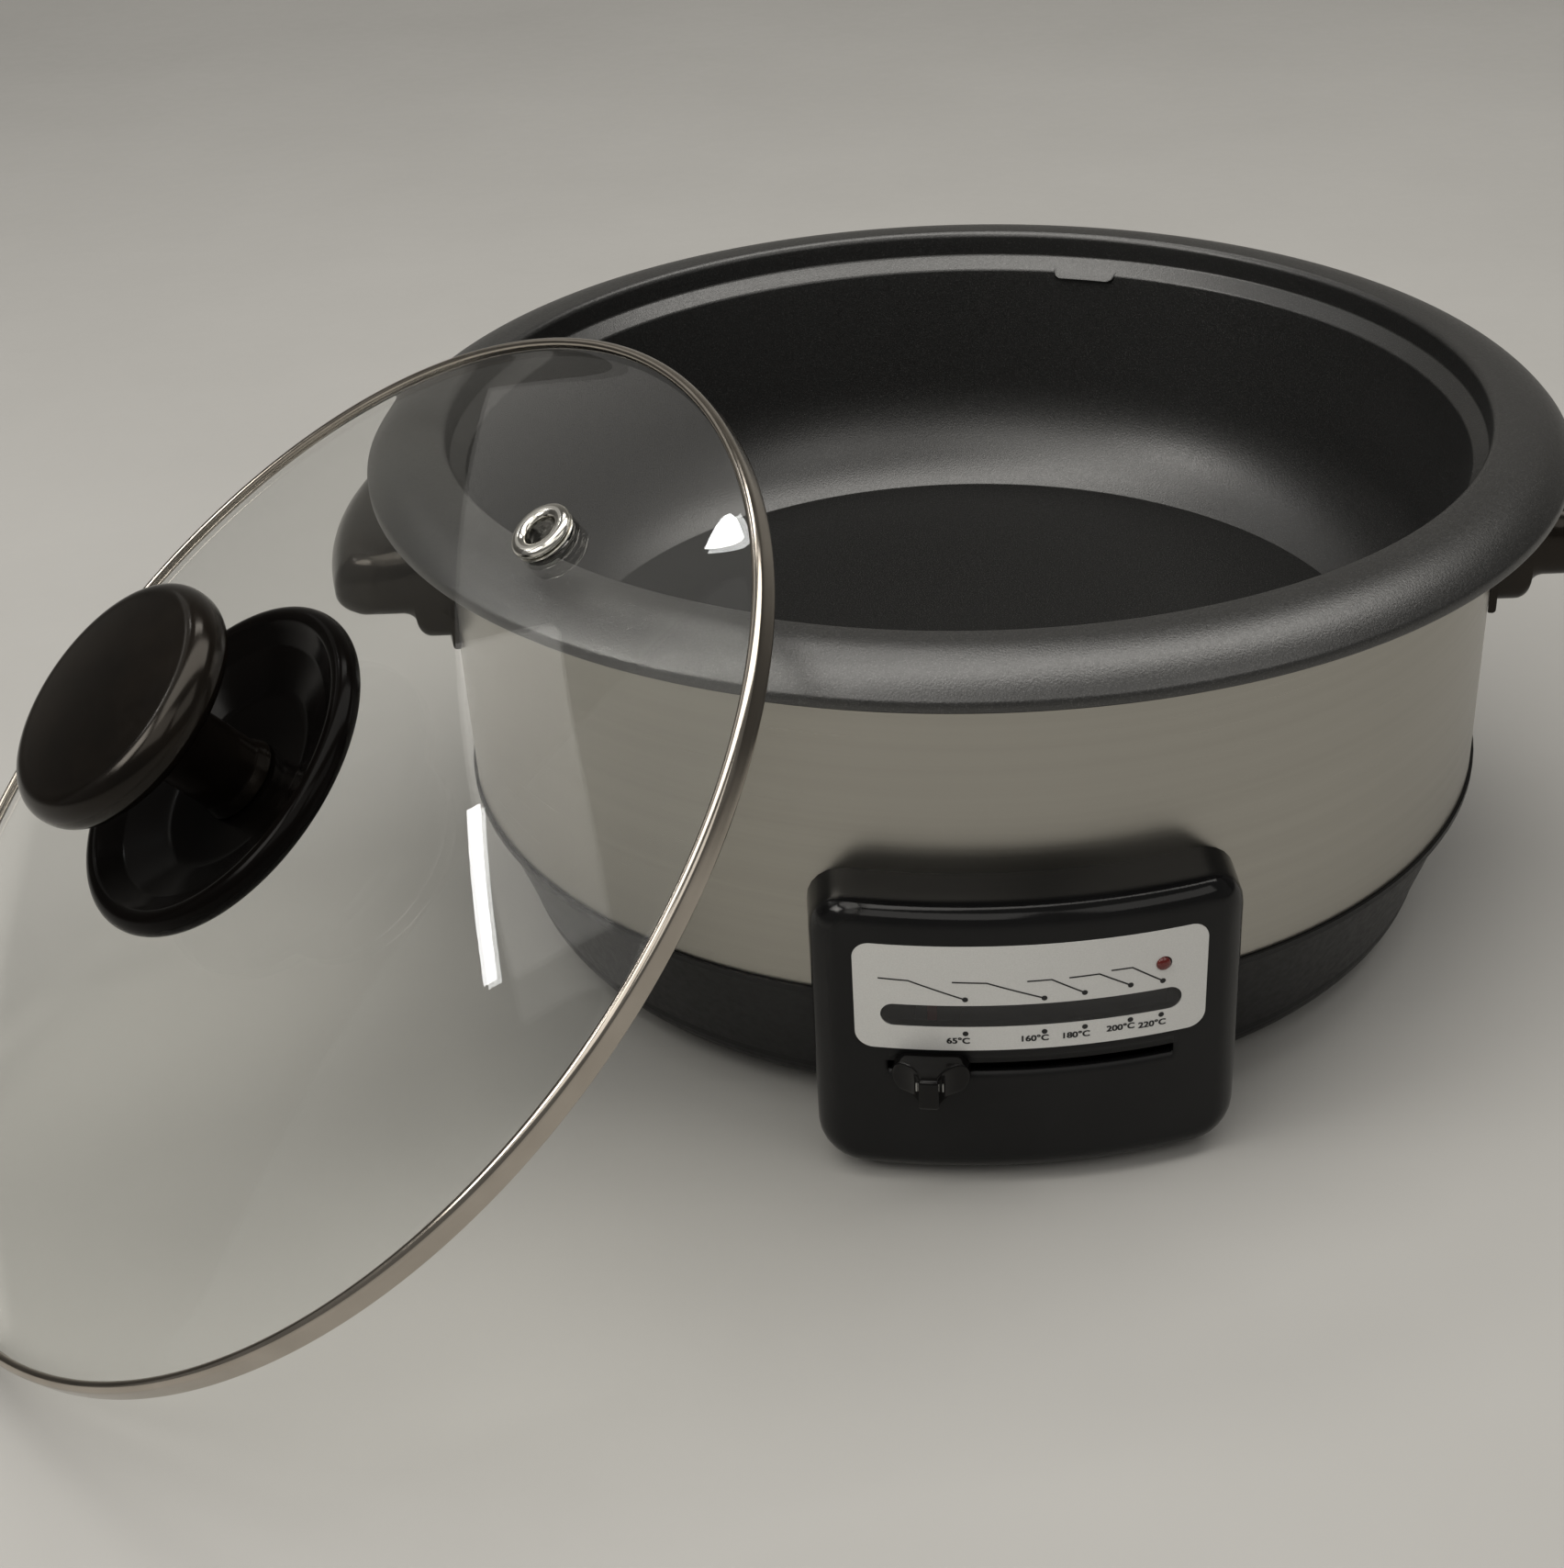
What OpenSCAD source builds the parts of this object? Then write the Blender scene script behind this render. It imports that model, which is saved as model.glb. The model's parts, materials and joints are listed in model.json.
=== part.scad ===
// Electric hot pot with a loose glass lid leaning on its rim.
// The pot's axis is Z, the table is Z = 0 and the control face looks along -Y.

/* [Pot] */
// Inside radius at the crest of the rim
opening_r = 150; // [135:1:165]
// Height of the rim's crest above the table
crest_z = 153.2; // [145:0.2:165]
// Inside depth from the crest to the floor
pot_depth = 84; // [75:1:88]
// Wall thickness of the casting
pot_wall = 3; // [2.4:0.1:3.6]
// Width of the rim outside the opening
rim_w = 22; // [18:0.5:24]
// Radius of the rim's crown
crown_r = 22; // [20:0.5:26]
// Distance from the opening out to the crown's highest ring
crown_in = 5; // [4:0.5:7]
// Thickness of the rim
rim_t = 2.4; // [1.8:0.1:3]
// Height of the lip that ends the rim
lip_h = 3; // [2:0.5:5]
// Depth of the lid seat below the crest
seat_depth = 8; // [6:0.5:10]
// How far the seat wall stands inside the crest
seat_in = 0.6; // [0.4:0.1:1.2]
// Width of the ledge that carries the lid
ledge_w = 4.4; // [3:0.2:6]
// Drop of the ledge across its width
ledge_drop = 4; // [2:0.2:6]
// How far the wall leans in between the ledge and the floor corner
wall_lean = 4; // [2:0.5:8]
// Inside radius of the floor corner
floor_r = 26; // [20:1:32]
// How far the flat floor's edge stands in from the wall
floor_in = 16; // [12:0.5:19]

/* [Body] */
// Gap between the pot's seat wall and the steel band
band_gap = 0.5; // [0.4:0.1:1]
// Thickness of the steel band
band_t = 0.8; // [0.5:0.1:1.2]
// Height of the band's lower edge above the table
band_z = 47.8; // [44:0.2:52]
// Wall thickness of the base cup
cup_wall = 2.5; // [2:0.1:3]
// How far the base cup's side leans in from its lip to its bottom corner
cup_lean = 10.7; // [6:0.1:14]
// Radius of the base cup's bottom corner
cup_corner = 9; // [6:0.5:12]
// How far the base cup's lip stands outside the band
cup_lip = 1; // [0.5:0.1:1.6]
// Height of the rubber feet under the base cup
foot_h = 4; // [3:0.5:6]
// Diameter of the rubber feet
foot_d = 18; // [14:1:22]

/* [Handles] */
// Length of a handle along the body
handle_l = 88; // [80:1:100]
// Reach of a handle out from the band
handle_reach = 34; // [30:0.5:38]
// Height of a handle's top edge above the table
handle_z = 131; // [126:1:134]
// Thickness of the grip
grip_t = 21; // [18:0.5:24]
// Bearing of the handles off the line square to the control face
handle_turn = -2; // [-4:0.5:4]

/* [Controls] */
// Width of the control housing
box_w = 110; // [104:1:118]
// Height of the control housing
box_h = 83.5; // [80:0.5:88]
// Height of the control housing's underside above the table
box_z = 3; // [2:0.5:5]
// Depth of the control housing out from the band
box_depth = 17.3; // [16.5:0.1:20]
// Wall thickness of the control housing
box_wall = 2.4; // [2:0.1:2.8]
// Radius of the housing's front corners
box_corner = 9.5; // [7:0.5:12]
// Radius of the housing's rounded edges
box_edge = 5; // [3.5:0.5:6]
// Width of the label
label_w = 89.4; // [80:0.2:92]
// Height of the label
label_h = 31.8; // [29:0.2:34]
// Height of the label's middle above the table
label_z = 60.4; // [59:0.2:62]
// Length of the window in the label
window_w = 76; // [70:1:80]
// Height of the window in the label
window_h = 6.4; // [5:0.2:8]
// Height of the window's middle above the table
window_z = 55.1; // [54:0.2:56]
// Height of the slider's slot above the table
slot_z = 38.8; // [38:0.2:40]
// Half of the slot's length, as an angle about the pot's axis
slot_half = 12.4; // [11.8:0.1:13]
// Height of the slot
slot_h = 3.2; // [2.6:0.1:3.6]
// Bearing of the slider from the middle of the slot
slider_turn = -8.6; // [-10.8:0.1:10.8]
// Bearing of the lamp from the middle of the label
lamp_turn = 11.2; // [10:0.1:12.4]
// Height of the lamp above the table
lamp_z = 66.2; // [65:0.2:68]
// Diameter of the lamp's lens
lamp_d = 3.8; // [3.2:0.1:5]

/* [Lid] */
// Gap between the closed lid's band and the seat wall
lid_gap = 1; // [0.8:0.1:2]
// Thickness of the glass
glass_t = 4; // [3:0.2:5]
// Rise of the glass dome's underside
dome_h = 14; // [12:0.5:18]
// Height of the lid's steel band
ring_h = 6.4; // [5.6:0.2:8]
// Sheet thickness of the lid's steel band
ring_t = 0.6; // [0.4:0.1:0.8]
// How far the lid's steel band reaches in over the glass
ring_in = 2.8; // [2:0.2:5]
// Width of the glass's flat edge, from the dome out to the steel band's outside
edge_w = 9; // [7:0.5:12]
// Distance of the vent from the lid's middle
vent_r = 97; // [85:1:105]
// Bearing of the vent about the lid's axis
vent_turn = 79; // [60:0.5:120]
// Diameter of the vent's bore
vent_d = 9.4; // [7:0.2:11]
// Diameter of the vent's flange
vent_flange = 17; // [15:0.5:19]
// Radius of the knob's base
base_r = 46; // [40:1:50]
// Radius of the knob's grip
grip_r = 32.7; // [30:0.1:38]
// Thickness of the knob's grip
knob_t = 13.4; // [11:0.2:16]
// Height of the knob's top above the lid's middle plane
knob_h = 65.8; // [60:0.2:70]
// Height of the knob's base at its rim
base_h = 14.8; // [11:0.2:17]

/* [Lid pose] */
// Lean of the lid's axis from the vertical
lid_lean = 39.5; // [36:0.1:42]
// Bearing that the lid's outer face looks along
lid_bearing = 207.6; // [200:0.1:215]
// Sideways offset of the lid's middle from the pot's axis
lid_side = 27.6; // [0:0.1:32]
// Clearance between the leaning lid and what it leans on
lean_gap = 0.35; // [0.3:0.05:0.5]

/* [Hidden] */
$fn = 96;
eps = 0.01;
// clearance of a seated fit, of a moving part and of a turning shaft
fit = 0.15;
run = 0.4;
shaft_fit = 0.05;

// colours
nonstick = "#3b3c3d";
steel = "#b9b6ae";
black = "#17181a";
plain_metal = "#a8a9a6";
silver_label = "#d4d4d0";
red = "#b02a22";

// pot
floor_z = crest_z - pot_depth;
under_z = floor_z - pot_wall;
crown_x = opening_r + crown_in;
crown_z = crest_z - crown_r;
crown_under = crown_r - rim_t;
rim_r = opening_r + rim_w;
seat_r = opening_r - seat_in;
seat_out = seat_r + pot_wall;
seat_z = crest_z - seat_depth;
ledge_r = seat_r - ledge_w;
ledge_z = seat_z - ledge_drop;
wall_r = ledge_r - wall_lean;
crest_round = 1.9;
corner_x = wall_r - floor_r;
corner_z = floor_z + sqrt(pow(floor_r, 2) - pow(floor_r - floor_in, 2));

// body
band_in = seat_out + band_gap;
band_r = band_in + band_t;
band_top = crown_z + sqrt(pow(crown_under, 2) - pow(crown_x - band_in, 2)) - fit;
cup_lip_t = 2.5;
cup_side_r = band_r - cup_lip;
cup_foot_r = cup_side_r - cup_lean;
cup_floor_z = foot_h + cup_wall;
upstand_r = band_in - fit;
upstand_h = 10;
foot_ring_r = 115;
foot_stem_d = 8;

// screws, posts and bosses that hold the base to the pot
post_ring_r = 100;
post_turns = [0, 120, 240];
post_d = 13;
screw_d = 4;
screw_head_d = 7.5;
screw_head_h = 2.6;
boss_z = under_z - 14;
screw_in = 9;

// element and reflector
element_r = 80;
element_d = 7;
element_sweep = 316;
element_z = under_z - element_d / 2 - fit;
rib_h = 4;
rib_w = 2.6;
pin_d = 3;
pin_z = slot_z + 8;
sheet_t = 0.8;
reflector_r = post_ring_r + post_d / 2 + 2;
reflector_step = element_r + 10;
reflector_run = 3;
reflector_lift = under_z - boss_z - element_d - 2 * fit - 0.6;

// thermostat on the pot's axis
bracket_d = 40;
bracket_t = 1.6;
thermostat_d = 24;
thermostat_z = slot_z + 8;
spindle_d = 6;
spindle_in = 10;
hub_d = 14;
hub_h = 7;
lever_w = 12;
lever_t = 1.8;
lever_z = slot_z - lever_t / 2;

// handles: plan of the ear, its nose, the step down to the block on the body, and the hollow below
ear_r = 80;
ear_corner = 12;
nose_r = 9;
nose_drop = 4;
grip_low = handle_z - 2 - grip_t;
step_r = 4;
step_x = band_r + 5.5;
block_drop = 7.4;
hollow_x = band_r + 10;
hollow_wall = 4;
hollow_roof = 9;
plate_t = 2.4;
plate_low = handle_z - 34;
handle_screw_y = handle_l * 0.31;
handle_screw_z = handle_z - 15;
handle_screw_l = 11;
handle_screw_x = sqrt(pow(band_in, 2) - pow(handle_screw_y + screw_head_d / 2, 2)) - fit;

// control housing
face_r = band_r + box_depth;
box_top = box_z + box_h;
inner_r = face_r - box_wall;
label_t = 0.6;
label_proud = 0.25;
label_bed = 0.1;
label_corner = 4.6;
lens_back = inner_r - 0.6;
stem_w = 7;
stem_h = slot_h - 2 * run;
carriage_r = inner_r - run - 1;
carriage_t = 2;
carriage_w = 18;
carriage_h = 11;
stem_out = 8;
knob_w = 20;
knob_tip = 5;
knob_reach = 12.4;
knob_z = 9.2;
scallop_r = 8;
pointer_w = 2.4;
screw_x = box_w / 2 - 8;
screw_z = 24;
cup_window_w = 2 * screw_x - 16;
cup_window_z = 13;
cup_window_top = band_z - 4;
pad_y = -(cup_foot_r - 12);
pad_d = 11;

// power inlet at the back
inlet_w = 34;
inlet_h = 26;
inlet_z = 24;
inlet_wall = 3;
inlet_y = cup_side_r + 3;
inlet_depth = 24;
socket_depth = 17;
blade_w = 2;
blade_h = 4;
blade_x = 7;
wire_d = 3;
wire_r = [inlet_y - inlet_depth - 11, inlet_y - inlet_depth - 19];
block_turn = 62;

// lid
ring_r = seat_r - lid_gap;
glass_r = ring_r - ring_t - fit;
dome_r = ring_r - edge_w;
glass_low = -glass_t / 2;
dome_low = (pow(dome_r, 2) + pow(dome_h, 2)) / (2 * dome_h);
dome_high = dome_low + glass_t;
dome_axis_z = glass_low + dome_h - dome_low;
dome_top = dome_axis_z + dome_high;
glass_hole_d = 8;
vent_lean = asin(vent_r / dome_high);
vent_neck = 1.5;
vent_bead = 1.3;
vent_sheet = 1.2;
base_lip = 3.6;
base_foot_r = 16;
base_dish_r = 24;
base_floor = 4.6;
grip_edge = 5.5;
grip_crown = 1.4;
stem_r = 10;
knob_screw_in = 18;
washer_d = 24;
washer_t = 2;
knob_screw_d = 5;

// Leaning pose: the lid's low edge stands on the table, and the underside of its dome, a sphere,
// touches the rim's crown, a ring of circles, at the point farthest from the sphere's centre.
lid_z = ring_r * sin(lid_lean) + ring_h / 2 * cos(lid_lean) + lean_gap;
sphere_back = -dome_axis_z * sin(lid_lean);
sphere_z = lid_z + dome_axis_z * cos(lid_lean);
sphere_far = sqrt(pow(dome_low - crown_r - lean_gap, 2) - pow(crown_z - sphere_z, 2)) - crown_x;
lid_out = sphere_back - sqrt(pow(sphere_far, 2) - pow(lid_side, 2));

// Points of an arc about [x, y], from one angle to another
function arc(x, y, r, from, to, steps = 12) =
    [for (i = [0:steps]) let (a = from + (to - from) * i / steps) [x + r * cos(a), y + r * sin(a)]];

// Where a circle of radius r about [x, y] reaches the distance d from the axis, as an angle
function reach_angle(x, r, d) = acos((d - x) / r);

// Outside of the base cup below the band, grown by a gap
function cup_side(gap) = concat(
    arc(cup_foot_r - cup_corner, foot_h + cup_corner, cup_corner + gap, -90, 0, 8),
    [[cup_side_r + gap, band_z - cup_lip_t - gap],
     [band_r + cup_lip + gap, band_z - cup_lip_t + 0.8 - gap],
     [band_r + cup_lip + gap, band_z + gap]]);

// A turned solid from a closed outline in radius and height
module turned(points) rotate_extrude() polygon(points);

// A ring of rectangular section
module ring(r_in, r_out, z_low, z_high)
    rotate_extrude() translate([r_in, z_low]) square([r_out - r_in, z_high - z_low]);

// A rectangle with round corners, centred
module round_rect(w, h, r) {
    square([w - 2 * r, h], center = true);
    square([w, h - 2 * r], center = true);
    for (x = [-1, 1], y = [-1, 1])
        translate([x * (w / 2 - r), y * (h / 2 - r)]) circle(r);
}

// Pushes an outline through the control face along Y, at a height
module through_face(z, deep = 60)
    translate([0, -face_r + deep / 2, z]) rotate([90, 0, 0]) linear_extrude(deep) children();

// Turns a piece that is drawn on the -Y side to a bearing from the middle of the control face
module at_turn(a) rotate([0, 0, a]) children();

// A rod along -Y between two distances from the axis
module spoke(d, r_from, r_to, z)
    translate([0, -r_from, z]) rotate([90, 0, 0]) cylinder(d = d, h = r_to - r_from);

// Screw that points along +Z from the underside of its head
module pan_screw(length) {
    translate([0, 0, -screw_head_h]) cylinder(d = screw_head_d, h = screw_head_h);
    cylinder(d = screw_d, h = length);
}

module inner_pot() color(nonstick) {
    out_a = reach_angle(crown_x, crown_r, rim_r);
    in_a = reach_angle(crown_x, crown_under, rim_r - rim_t);
    wall_a = reach_angle(crown_x, crown_under, seat_out);
    lip_z = crown_z + crown_r * sin(out_a) - lip_h;
    floor_a = -acos((floor_r - floor_in) / floor_r);
    under_a = -asin((corner_z - under_z) / (floor_r + pot_wall));
    difference() {
        union() {
            turned(concat(
                [[0, under_z]],
                arc(corner_x, corner_z, floor_r + pot_wall, under_a, 0),
                [[ledge_r + pot_wall, ledge_z - 1], [seat_out, seat_z - 1]],
                arc(crown_x, crown_z, crown_under, wall_a, in_a),
                [[rim_r - rim_t, lip_z], [rim_r, lip_z]],
                arc(crown_x, crown_z, crown_r, out_a, 96, 16),
                arc(seat_r + crest_round, crest_z - 0.25 - crest_round, crest_round, 96, 180, 6),
                [[seat_r, seat_z], [ledge_r, ledge_z]],
                arc(corner_x, corner_z, floor_r, 0, floor_a),
                [[0, floor_z]]));
            for (side = [-1, 1]) {
                x = element_r + side * (element_d / 2 + fit + rib_w / 2);
                ring(x - rib_w / 2, x + rib_w / 2, under_z - rib_h, under_z + 1);
            }
            for (a = post_turns) rotate([0, 0, a]) translate([post_ring_r, 0, boss_z])
                cylinder(d = post_d, h = under_z - boss_z + 1);
        }
        for (a = post_turns) rotate([0, 0, a]) translate([post_ring_r, 0, boss_z - eps])
            cylinder(d = screw_d + 2 * shaft_fit, h = screw_in + 1);
    }
}

module handle_holes(d) {
    for (side = [-1, 1], y = [-1, 1]) rotate([0, 0, handle_turn])
        translate([0, y * handle_screw_y, handle_screw_z]) rotate([0, side * 90, 0])
            cylinder(d = d, h = rim_r);
}

module steel_band() color(steel) difference() {
    ring(band_in, band_r, band_z, band_top);
    handle_holes(screw_d + 2 * fit);
}

module base_cup() color(black) difference() {
    union() {
        turned(concat(
            [[0, foot_h]],
            cup_side(0),
            [[upstand_r, band_z], [upstand_r, band_z + upstand_h],
             [upstand_r - cup_wall, band_z + upstand_h], [cup_side_r - cup_wall, band_z - cup_lip_t]],
            arc(cup_foot_r - cup_corner, foot_h + cup_corner, cup_corner - cup_wall, 0, -90, 8),
            [[0, cup_floor_z]]));
        for (a = post_turns) rotate([0, 0, a]) translate([post_ring_r, 0, foot_h])
            cylinder(d = post_d, h = boss_z - sheet_t - foot_h);
        intersection() {
            turned(concat([[0, foot_h]], cup_side(0), [[0, band_z]]));
            for (x = [-1, 1]) translate([x * screw_x, pad_y, screw_z]) rotate([90, 0, 0])
                cylinder(d = pad_d, h = 40);
        }
    }
    for (a = post_turns) rotate([0, 0, a]) translate([post_ring_r, 0, foot_h - eps]) {
        cylinder(d = screw_head_d + 1, h = screw_head_h + 2);
        cylinder(d = screw_d + 2 * fit, h = boss_z);
    }
    for (i = [0:3]) rotate([0, 0, 45 + 90 * i]) translate([foot_ring_r, 0, foot_h - eps])
        cylinder(d = foot_stem_d + 2 * fit, h = cup_wall + 1);
    for (i = [0:11]) rotate([0, 0, 30 * i]) translate([34, -1.5, foot_h - eps])
        cube([24, 3, cup_wall + 1]);
    translate([-cup_window_w / 2, -face_r, cup_window_z])
        cube([cup_window_w, face_r - cup_foot_r + 30, cup_window_top - cup_window_z]);
    for (x = [-1, 1]) translate([x * screw_x, pad_y + eps, screw_z]) rotate([90, 0, 0])
        cylinder(d = screw_d + 2 * fit, h = 40);
    translate([-inlet_w / 2 - fit, inlet_y - inlet_depth - 2, inlet_z - inlet_h / 2 - fit])
        cube([inlet_w + 2 * fit, inlet_depth + 20, inlet_h + 2 * fit]);
}

module rubber_feet() color(black)
    for (i = [0:3]) rotate([0, 0, 45 + 90 * i]) translate([foot_ring_r, 0, 0]) {
        cylinder(d1 = foot_d - 2, d2 = foot_d, h = 1);
        translate([0, 0, 1]) cylinder(d = foot_d, h = foot_h - 1);
        cylinder(d = foot_stem_d, h = cup_floor_z);
    }

module base_screws() color(plain_metal)
    for (a = post_turns) rotate([0, 0, a]) translate([post_ring_r, 0, foot_h + screw_head_h + 2])
        pan_screw(boss_z + screw_in - foot_h - screw_head_h - 2);

module heating_element() color(plain_metal)
    rotate([0, 0, 90 - element_sweep / 2]) {
        translate([0, 0, element_z]) rotate_extrude(angle = element_sweep)
            translate([element_r, 0]) circle(d = element_d);
        for (a = [0, element_sweep]) rotate([0, 0, a]) translate([element_r, 0, 0]) {
            translate([0, 0, boss_z - 2]) cylinder(d = element_d - 0.6, h = element_z - boss_z + 4);
            translate([0, 0, pin_z]) cylinder(d = pin_d, h = boss_z - pin_z);
        }
    }

module heat_reflector() color(plain_metal) difference() {
    up = boss_z + reflector_lift;
    down_r = reflector_step + reflector_run;
    turned([[bracket_d / 2 + 1, up - sheet_t], [reflector_step, up - sheet_t],
        [down_r, boss_z - sheet_t], [reflector_r, boss_z - sheet_t], [reflector_r, boss_z],
        [down_r + sheet_t, boss_z], [reflector_step + sheet_t, up], [bracket_d / 2 + 1, up]]);
    for (a = post_turns) rotate([0, 0, a]) translate([post_ring_r, 0, 0])
        cylinder(d = screw_d + 2 * fit, h = crest_z);
    for (a = [-1, 1]) rotate([0, 0, 90 + a * element_sweep / 2]) translate([element_r, 0, 0])
        cylinder(d = element_d + 4, h = crest_z);
}

module thermostat_bracket() color(plain_metal) difference() {
    translate([0, 0, under_z - bracket_t]) cylinder(d = bracket_d, h = bracket_t);
    for (x = [-1, 1]) translate([x * bracket_d * 0.38, 0, 0]) cylinder(d = 3.4, h = crest_z);
}

module thermostat_body() color("#d8d2c4") difference() {
    union() {
        translate([0, 0, thermostat_z]) cylinder(d = thermostat_d, h = under_z - bracket_t - thermostat_z);
        for (side = [-1, 1]) translate([side * (thermostat_d / 2 + 2), 0, thermostat_z + 5])
            cube([9, 6.3, 0.8], center = true);
    }
    translate([0, 0, thermostat_z - eps]) cylinder(d = spindle_d + 2 * shaft_fit, h = spindle_in + 0.5);
}

module thermostat_spindle() color(plain_metal)
    translate([0, 0, lever_z - hub_h / 2 - 2]) {
        cylinder(d = spindle_d, h = thermostat_z + spindle_in - lever_z + hub_h / 2 + 2);
        cylinder(d = spindle_d + 3, h = 1.6);
    }

module thermal_fuse() color(plain_metal)
    translate([0, 46, under_z - 2 - fit]) rotate([0, 90, 0]) {
        cylinder(d = 4, h = 12, center = true);
        cylinder(d = 1.2, h = 26, center = true);
    }

module terminal_block() color("#d8d2c4")
    rotate([0, 0, block_turn]) translate([wire_r[1] - 8, 0, cup_floor_z]) difference() {
        translate([0, -8, 0]) cube([24, 16, 24]);
        for (i = [0, 1]) translate([8 + 8 * (1 - i), 0, 25 - 10])
            cylinder(d = 4.4, h = 20);
    }

module supply_wires() color("#8a5a3a") {
    gap_turn = 0.25;
    for (i = [0, 1]) {
        block_a = block_turn + atan(8 / wire_r[i]) + gap_turn;
        pin_a = 90 + (i == 0 ? -1 : 1) * atan(blade_x / wire_r[i]) - atan(blade_w / 2 / wire_r[i]) - gap_turn;
        rotate([0, 0, block_a]) translate([0, 0, inlet_z])
            rotate_extrude(angle = pin_a - block_a) translate([wire_r[i], 0]) circle(d = wire_d);
    }
}

// Plan of a handle, drawn in by an inset: a long round edge with rounded corners
module handle_plan(inset) {
    x_out = band_r + handle_reach - inset;
    half = handle_l / 2 - inset;
    side = half - ear_corner;
    reach = ear_r - ear_corner;
    corner_x = x_out - ear_r + sqrt(pow(reach, 2) - pow(side, 2));
    meet_y = side * ear_r / reach;
    intersection() {
        translate([x_out - ear_r, 0]) circle(ear_r);
        union() {
            translate([0, -half]) square([corner_x, 2 * half]);
            translate([0, -meet_y]) square([x_out, 2 * meet_y]);
            for (y = [-1, 1]) translate([corner_x, y * side]) circle(ear_corner);
        }
    }
}

// Side outline of a handle: sloped top, round nose, and a step down to the block on the body
module handle_side() {
    x0 = band_r - 12;
    nose_x = band_r + handle_reach - nose_r;
    block_low = grip_low - block_drop;
    polygon(concat(
        [[x0, block_low], [step_x - step_r, block_low]],
        arc(step_x - step_r, block_low + step_r, step_r, -90, 0, 6),
        arc(step_x + step_r, grip_low - step_r, step_r, 180, 90, 6),
        arc(nose_x, grip_low + nose_r, nose_r, -90, 0, 8),
        arc(nose_x, handle_z - nose_drop - nose_r, nose_r, 0, 82, 8),
        [[x0, handle_z]]));
}

module handle_blank() difference() {
    union() {
        intersection() {
            translate([0, 0, band_z]) linear_extrude(crest_z - band_z) handle_plan(0);
            translate([0, handle_l, 0]) rotate([90, 0, 0]) linear_extrude(2 * handle_l) handle_side();
        }
        intersection() {
            ring(band_r, band_r + plate_t, plate_low, handle_z + 1);
            translate([0, -handle_l / 2, 0]) cube([rim_r, handle_l, crest_z]);
        }
    }
    translate([0, 0, -1]) cylinder(r = band_r + fit, h = crest_z + 2, $fn = 128);
    intersection() {
        translate([0, 0, band_z]) linear_extrude(handle_z - hollow_roof - band_z) handle_plan(hollow_wall);
        translate([hollow_x, -handle_l, 0]) cube([handle_reach, 2 * handle_l, crest_z]);
    }
    for (y = [-1, 1]) translate([handle_screw_x, y * handle_screw_y, handle_screw_z]) rotate([0, 90, 0])
        cylinder(d = screw_d + 2 * shaft_fit, h = handle_screw_l + 1);
}

module handle_right() color(black) rotate([0, 0, handle_turn]) handle_blank();

module handle_left() color(black) rotate([0, 0, handle_turn]) mirror([1, 0, 0]) handle_blank();

module handle_screws() color(plain_metal)
    for (side = [-1, 1], y = [-1, 1]) rotate([0, 0, handle_turn])
        translate([side * handle_screw_x, y * handle_screw_y, handle_screw_z])
            rotate([0, side * 90, 0]) pan_screw(handle_screw_l);

// Solid form of the control housing, drawn in by an inset
module box_form(inset) {
    e = box_edge - min(inset, box_edge - 1.5);
    r = face_r - inset;
    w = box_w - 2 * inset;
    low = box_z + inset;
    high = box_top - inset;
    back = cup_foot_r - 6 - 2 * inset;
    nip = 0.05;
    edge_x = w / 2 - e;
    edge_y = -sqrt(pow(r - e + nip, 2) - pow(edge_x, 2));
    intersection() {
        rotate([0, 0, -120]) rotate_extrude(angle = 60) {
            translate([back, low]) square([r - e - back, high - low]);
            translate([back, low + e]) square([r - back, high - low - 2 * e]);
            for (z = [low + e, high - e]) translate([r - e, z]) circle(e);
        }
        linear_extrude(box_top + 10) {
            translate([-edge_x, -r - 5]) square([2 * edge_x, r]);
            translate([-w / 2, edge_y]) square([w, r]);
            for (x = [-1, 1]) translate([x * edge_x, edge_y]) circle(e);
        }
        through_face(box_z + box_h / 2, 130)
            round_rect(w + 2 * nip, high - low + 2 * nip, box_corner - min(inset, box_corner - 2));
    }
}

// A rounded window through the label and the housing's face
module window_outline(grow) round_rect(window_w + 2 * grow, window_h + 2 * grow, window_h / 2 + grow - eps);

module label_outline(grow) round_rect(label_w + 2 * grow, label_h + 2 * grow, label_corner + grow);

module control_housing() color(black) difference() {
    union() {
        difference() {
            box_form(0);
            box_form(box_wall);
        }
        intersection() {
            box_form(box_wall / 2);
            for (x = [-1, 1]) translate([x * screw_x, -cup_foot_r + 20, screw_z]) rotate([90, 0, 0])
                cylinder(d = 8, h = 80);
        }
    }
    translate([0, 0, band_z]) cylinder(r = band_r + fit, h = crest_z, $fn = 128);
    turned(concat([[0, foot_h - fit]], cup_side(fit), [[0, band_z + fit]]));
    for (x = [-1, 1]) translate([x * screw_x, -cup_foot_r + 20, screw_z]) rotate([90, 0, 0])
        cylinder(d = screw_d + 2 * shaft_fit, h = face_r - 8 - cup_foot_r + 20 - 8);
    at_turn(-90 - slot_half) translate([0, 0, slot_z - slot_h / 2])
        rotate_extrude(angle = 2 * slot_half) translate([inner_r - 5, 0]) square([20, slot_h]);
    through_face(window_z, 40) window_outline(fit);
    at_turn(lamp_turn) spoke(lamp_d + 2 * fit, band_r, face_r + 5, lamp_z);
    intersection() {
        ring(face_r + label_proud - label_t - label_bed, face_r + 5, 0, crest_z);
        through_face(label_z, 60) label_outline(fit);
    }
}

module housing_screws() color(plain_metal)
    for (x = [-1, 1]) translate([x * screw_x, pad_y, screw_z]) rotate([90, 0, 0])
        pan_screw(face_r - 17 + pad_y);

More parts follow.
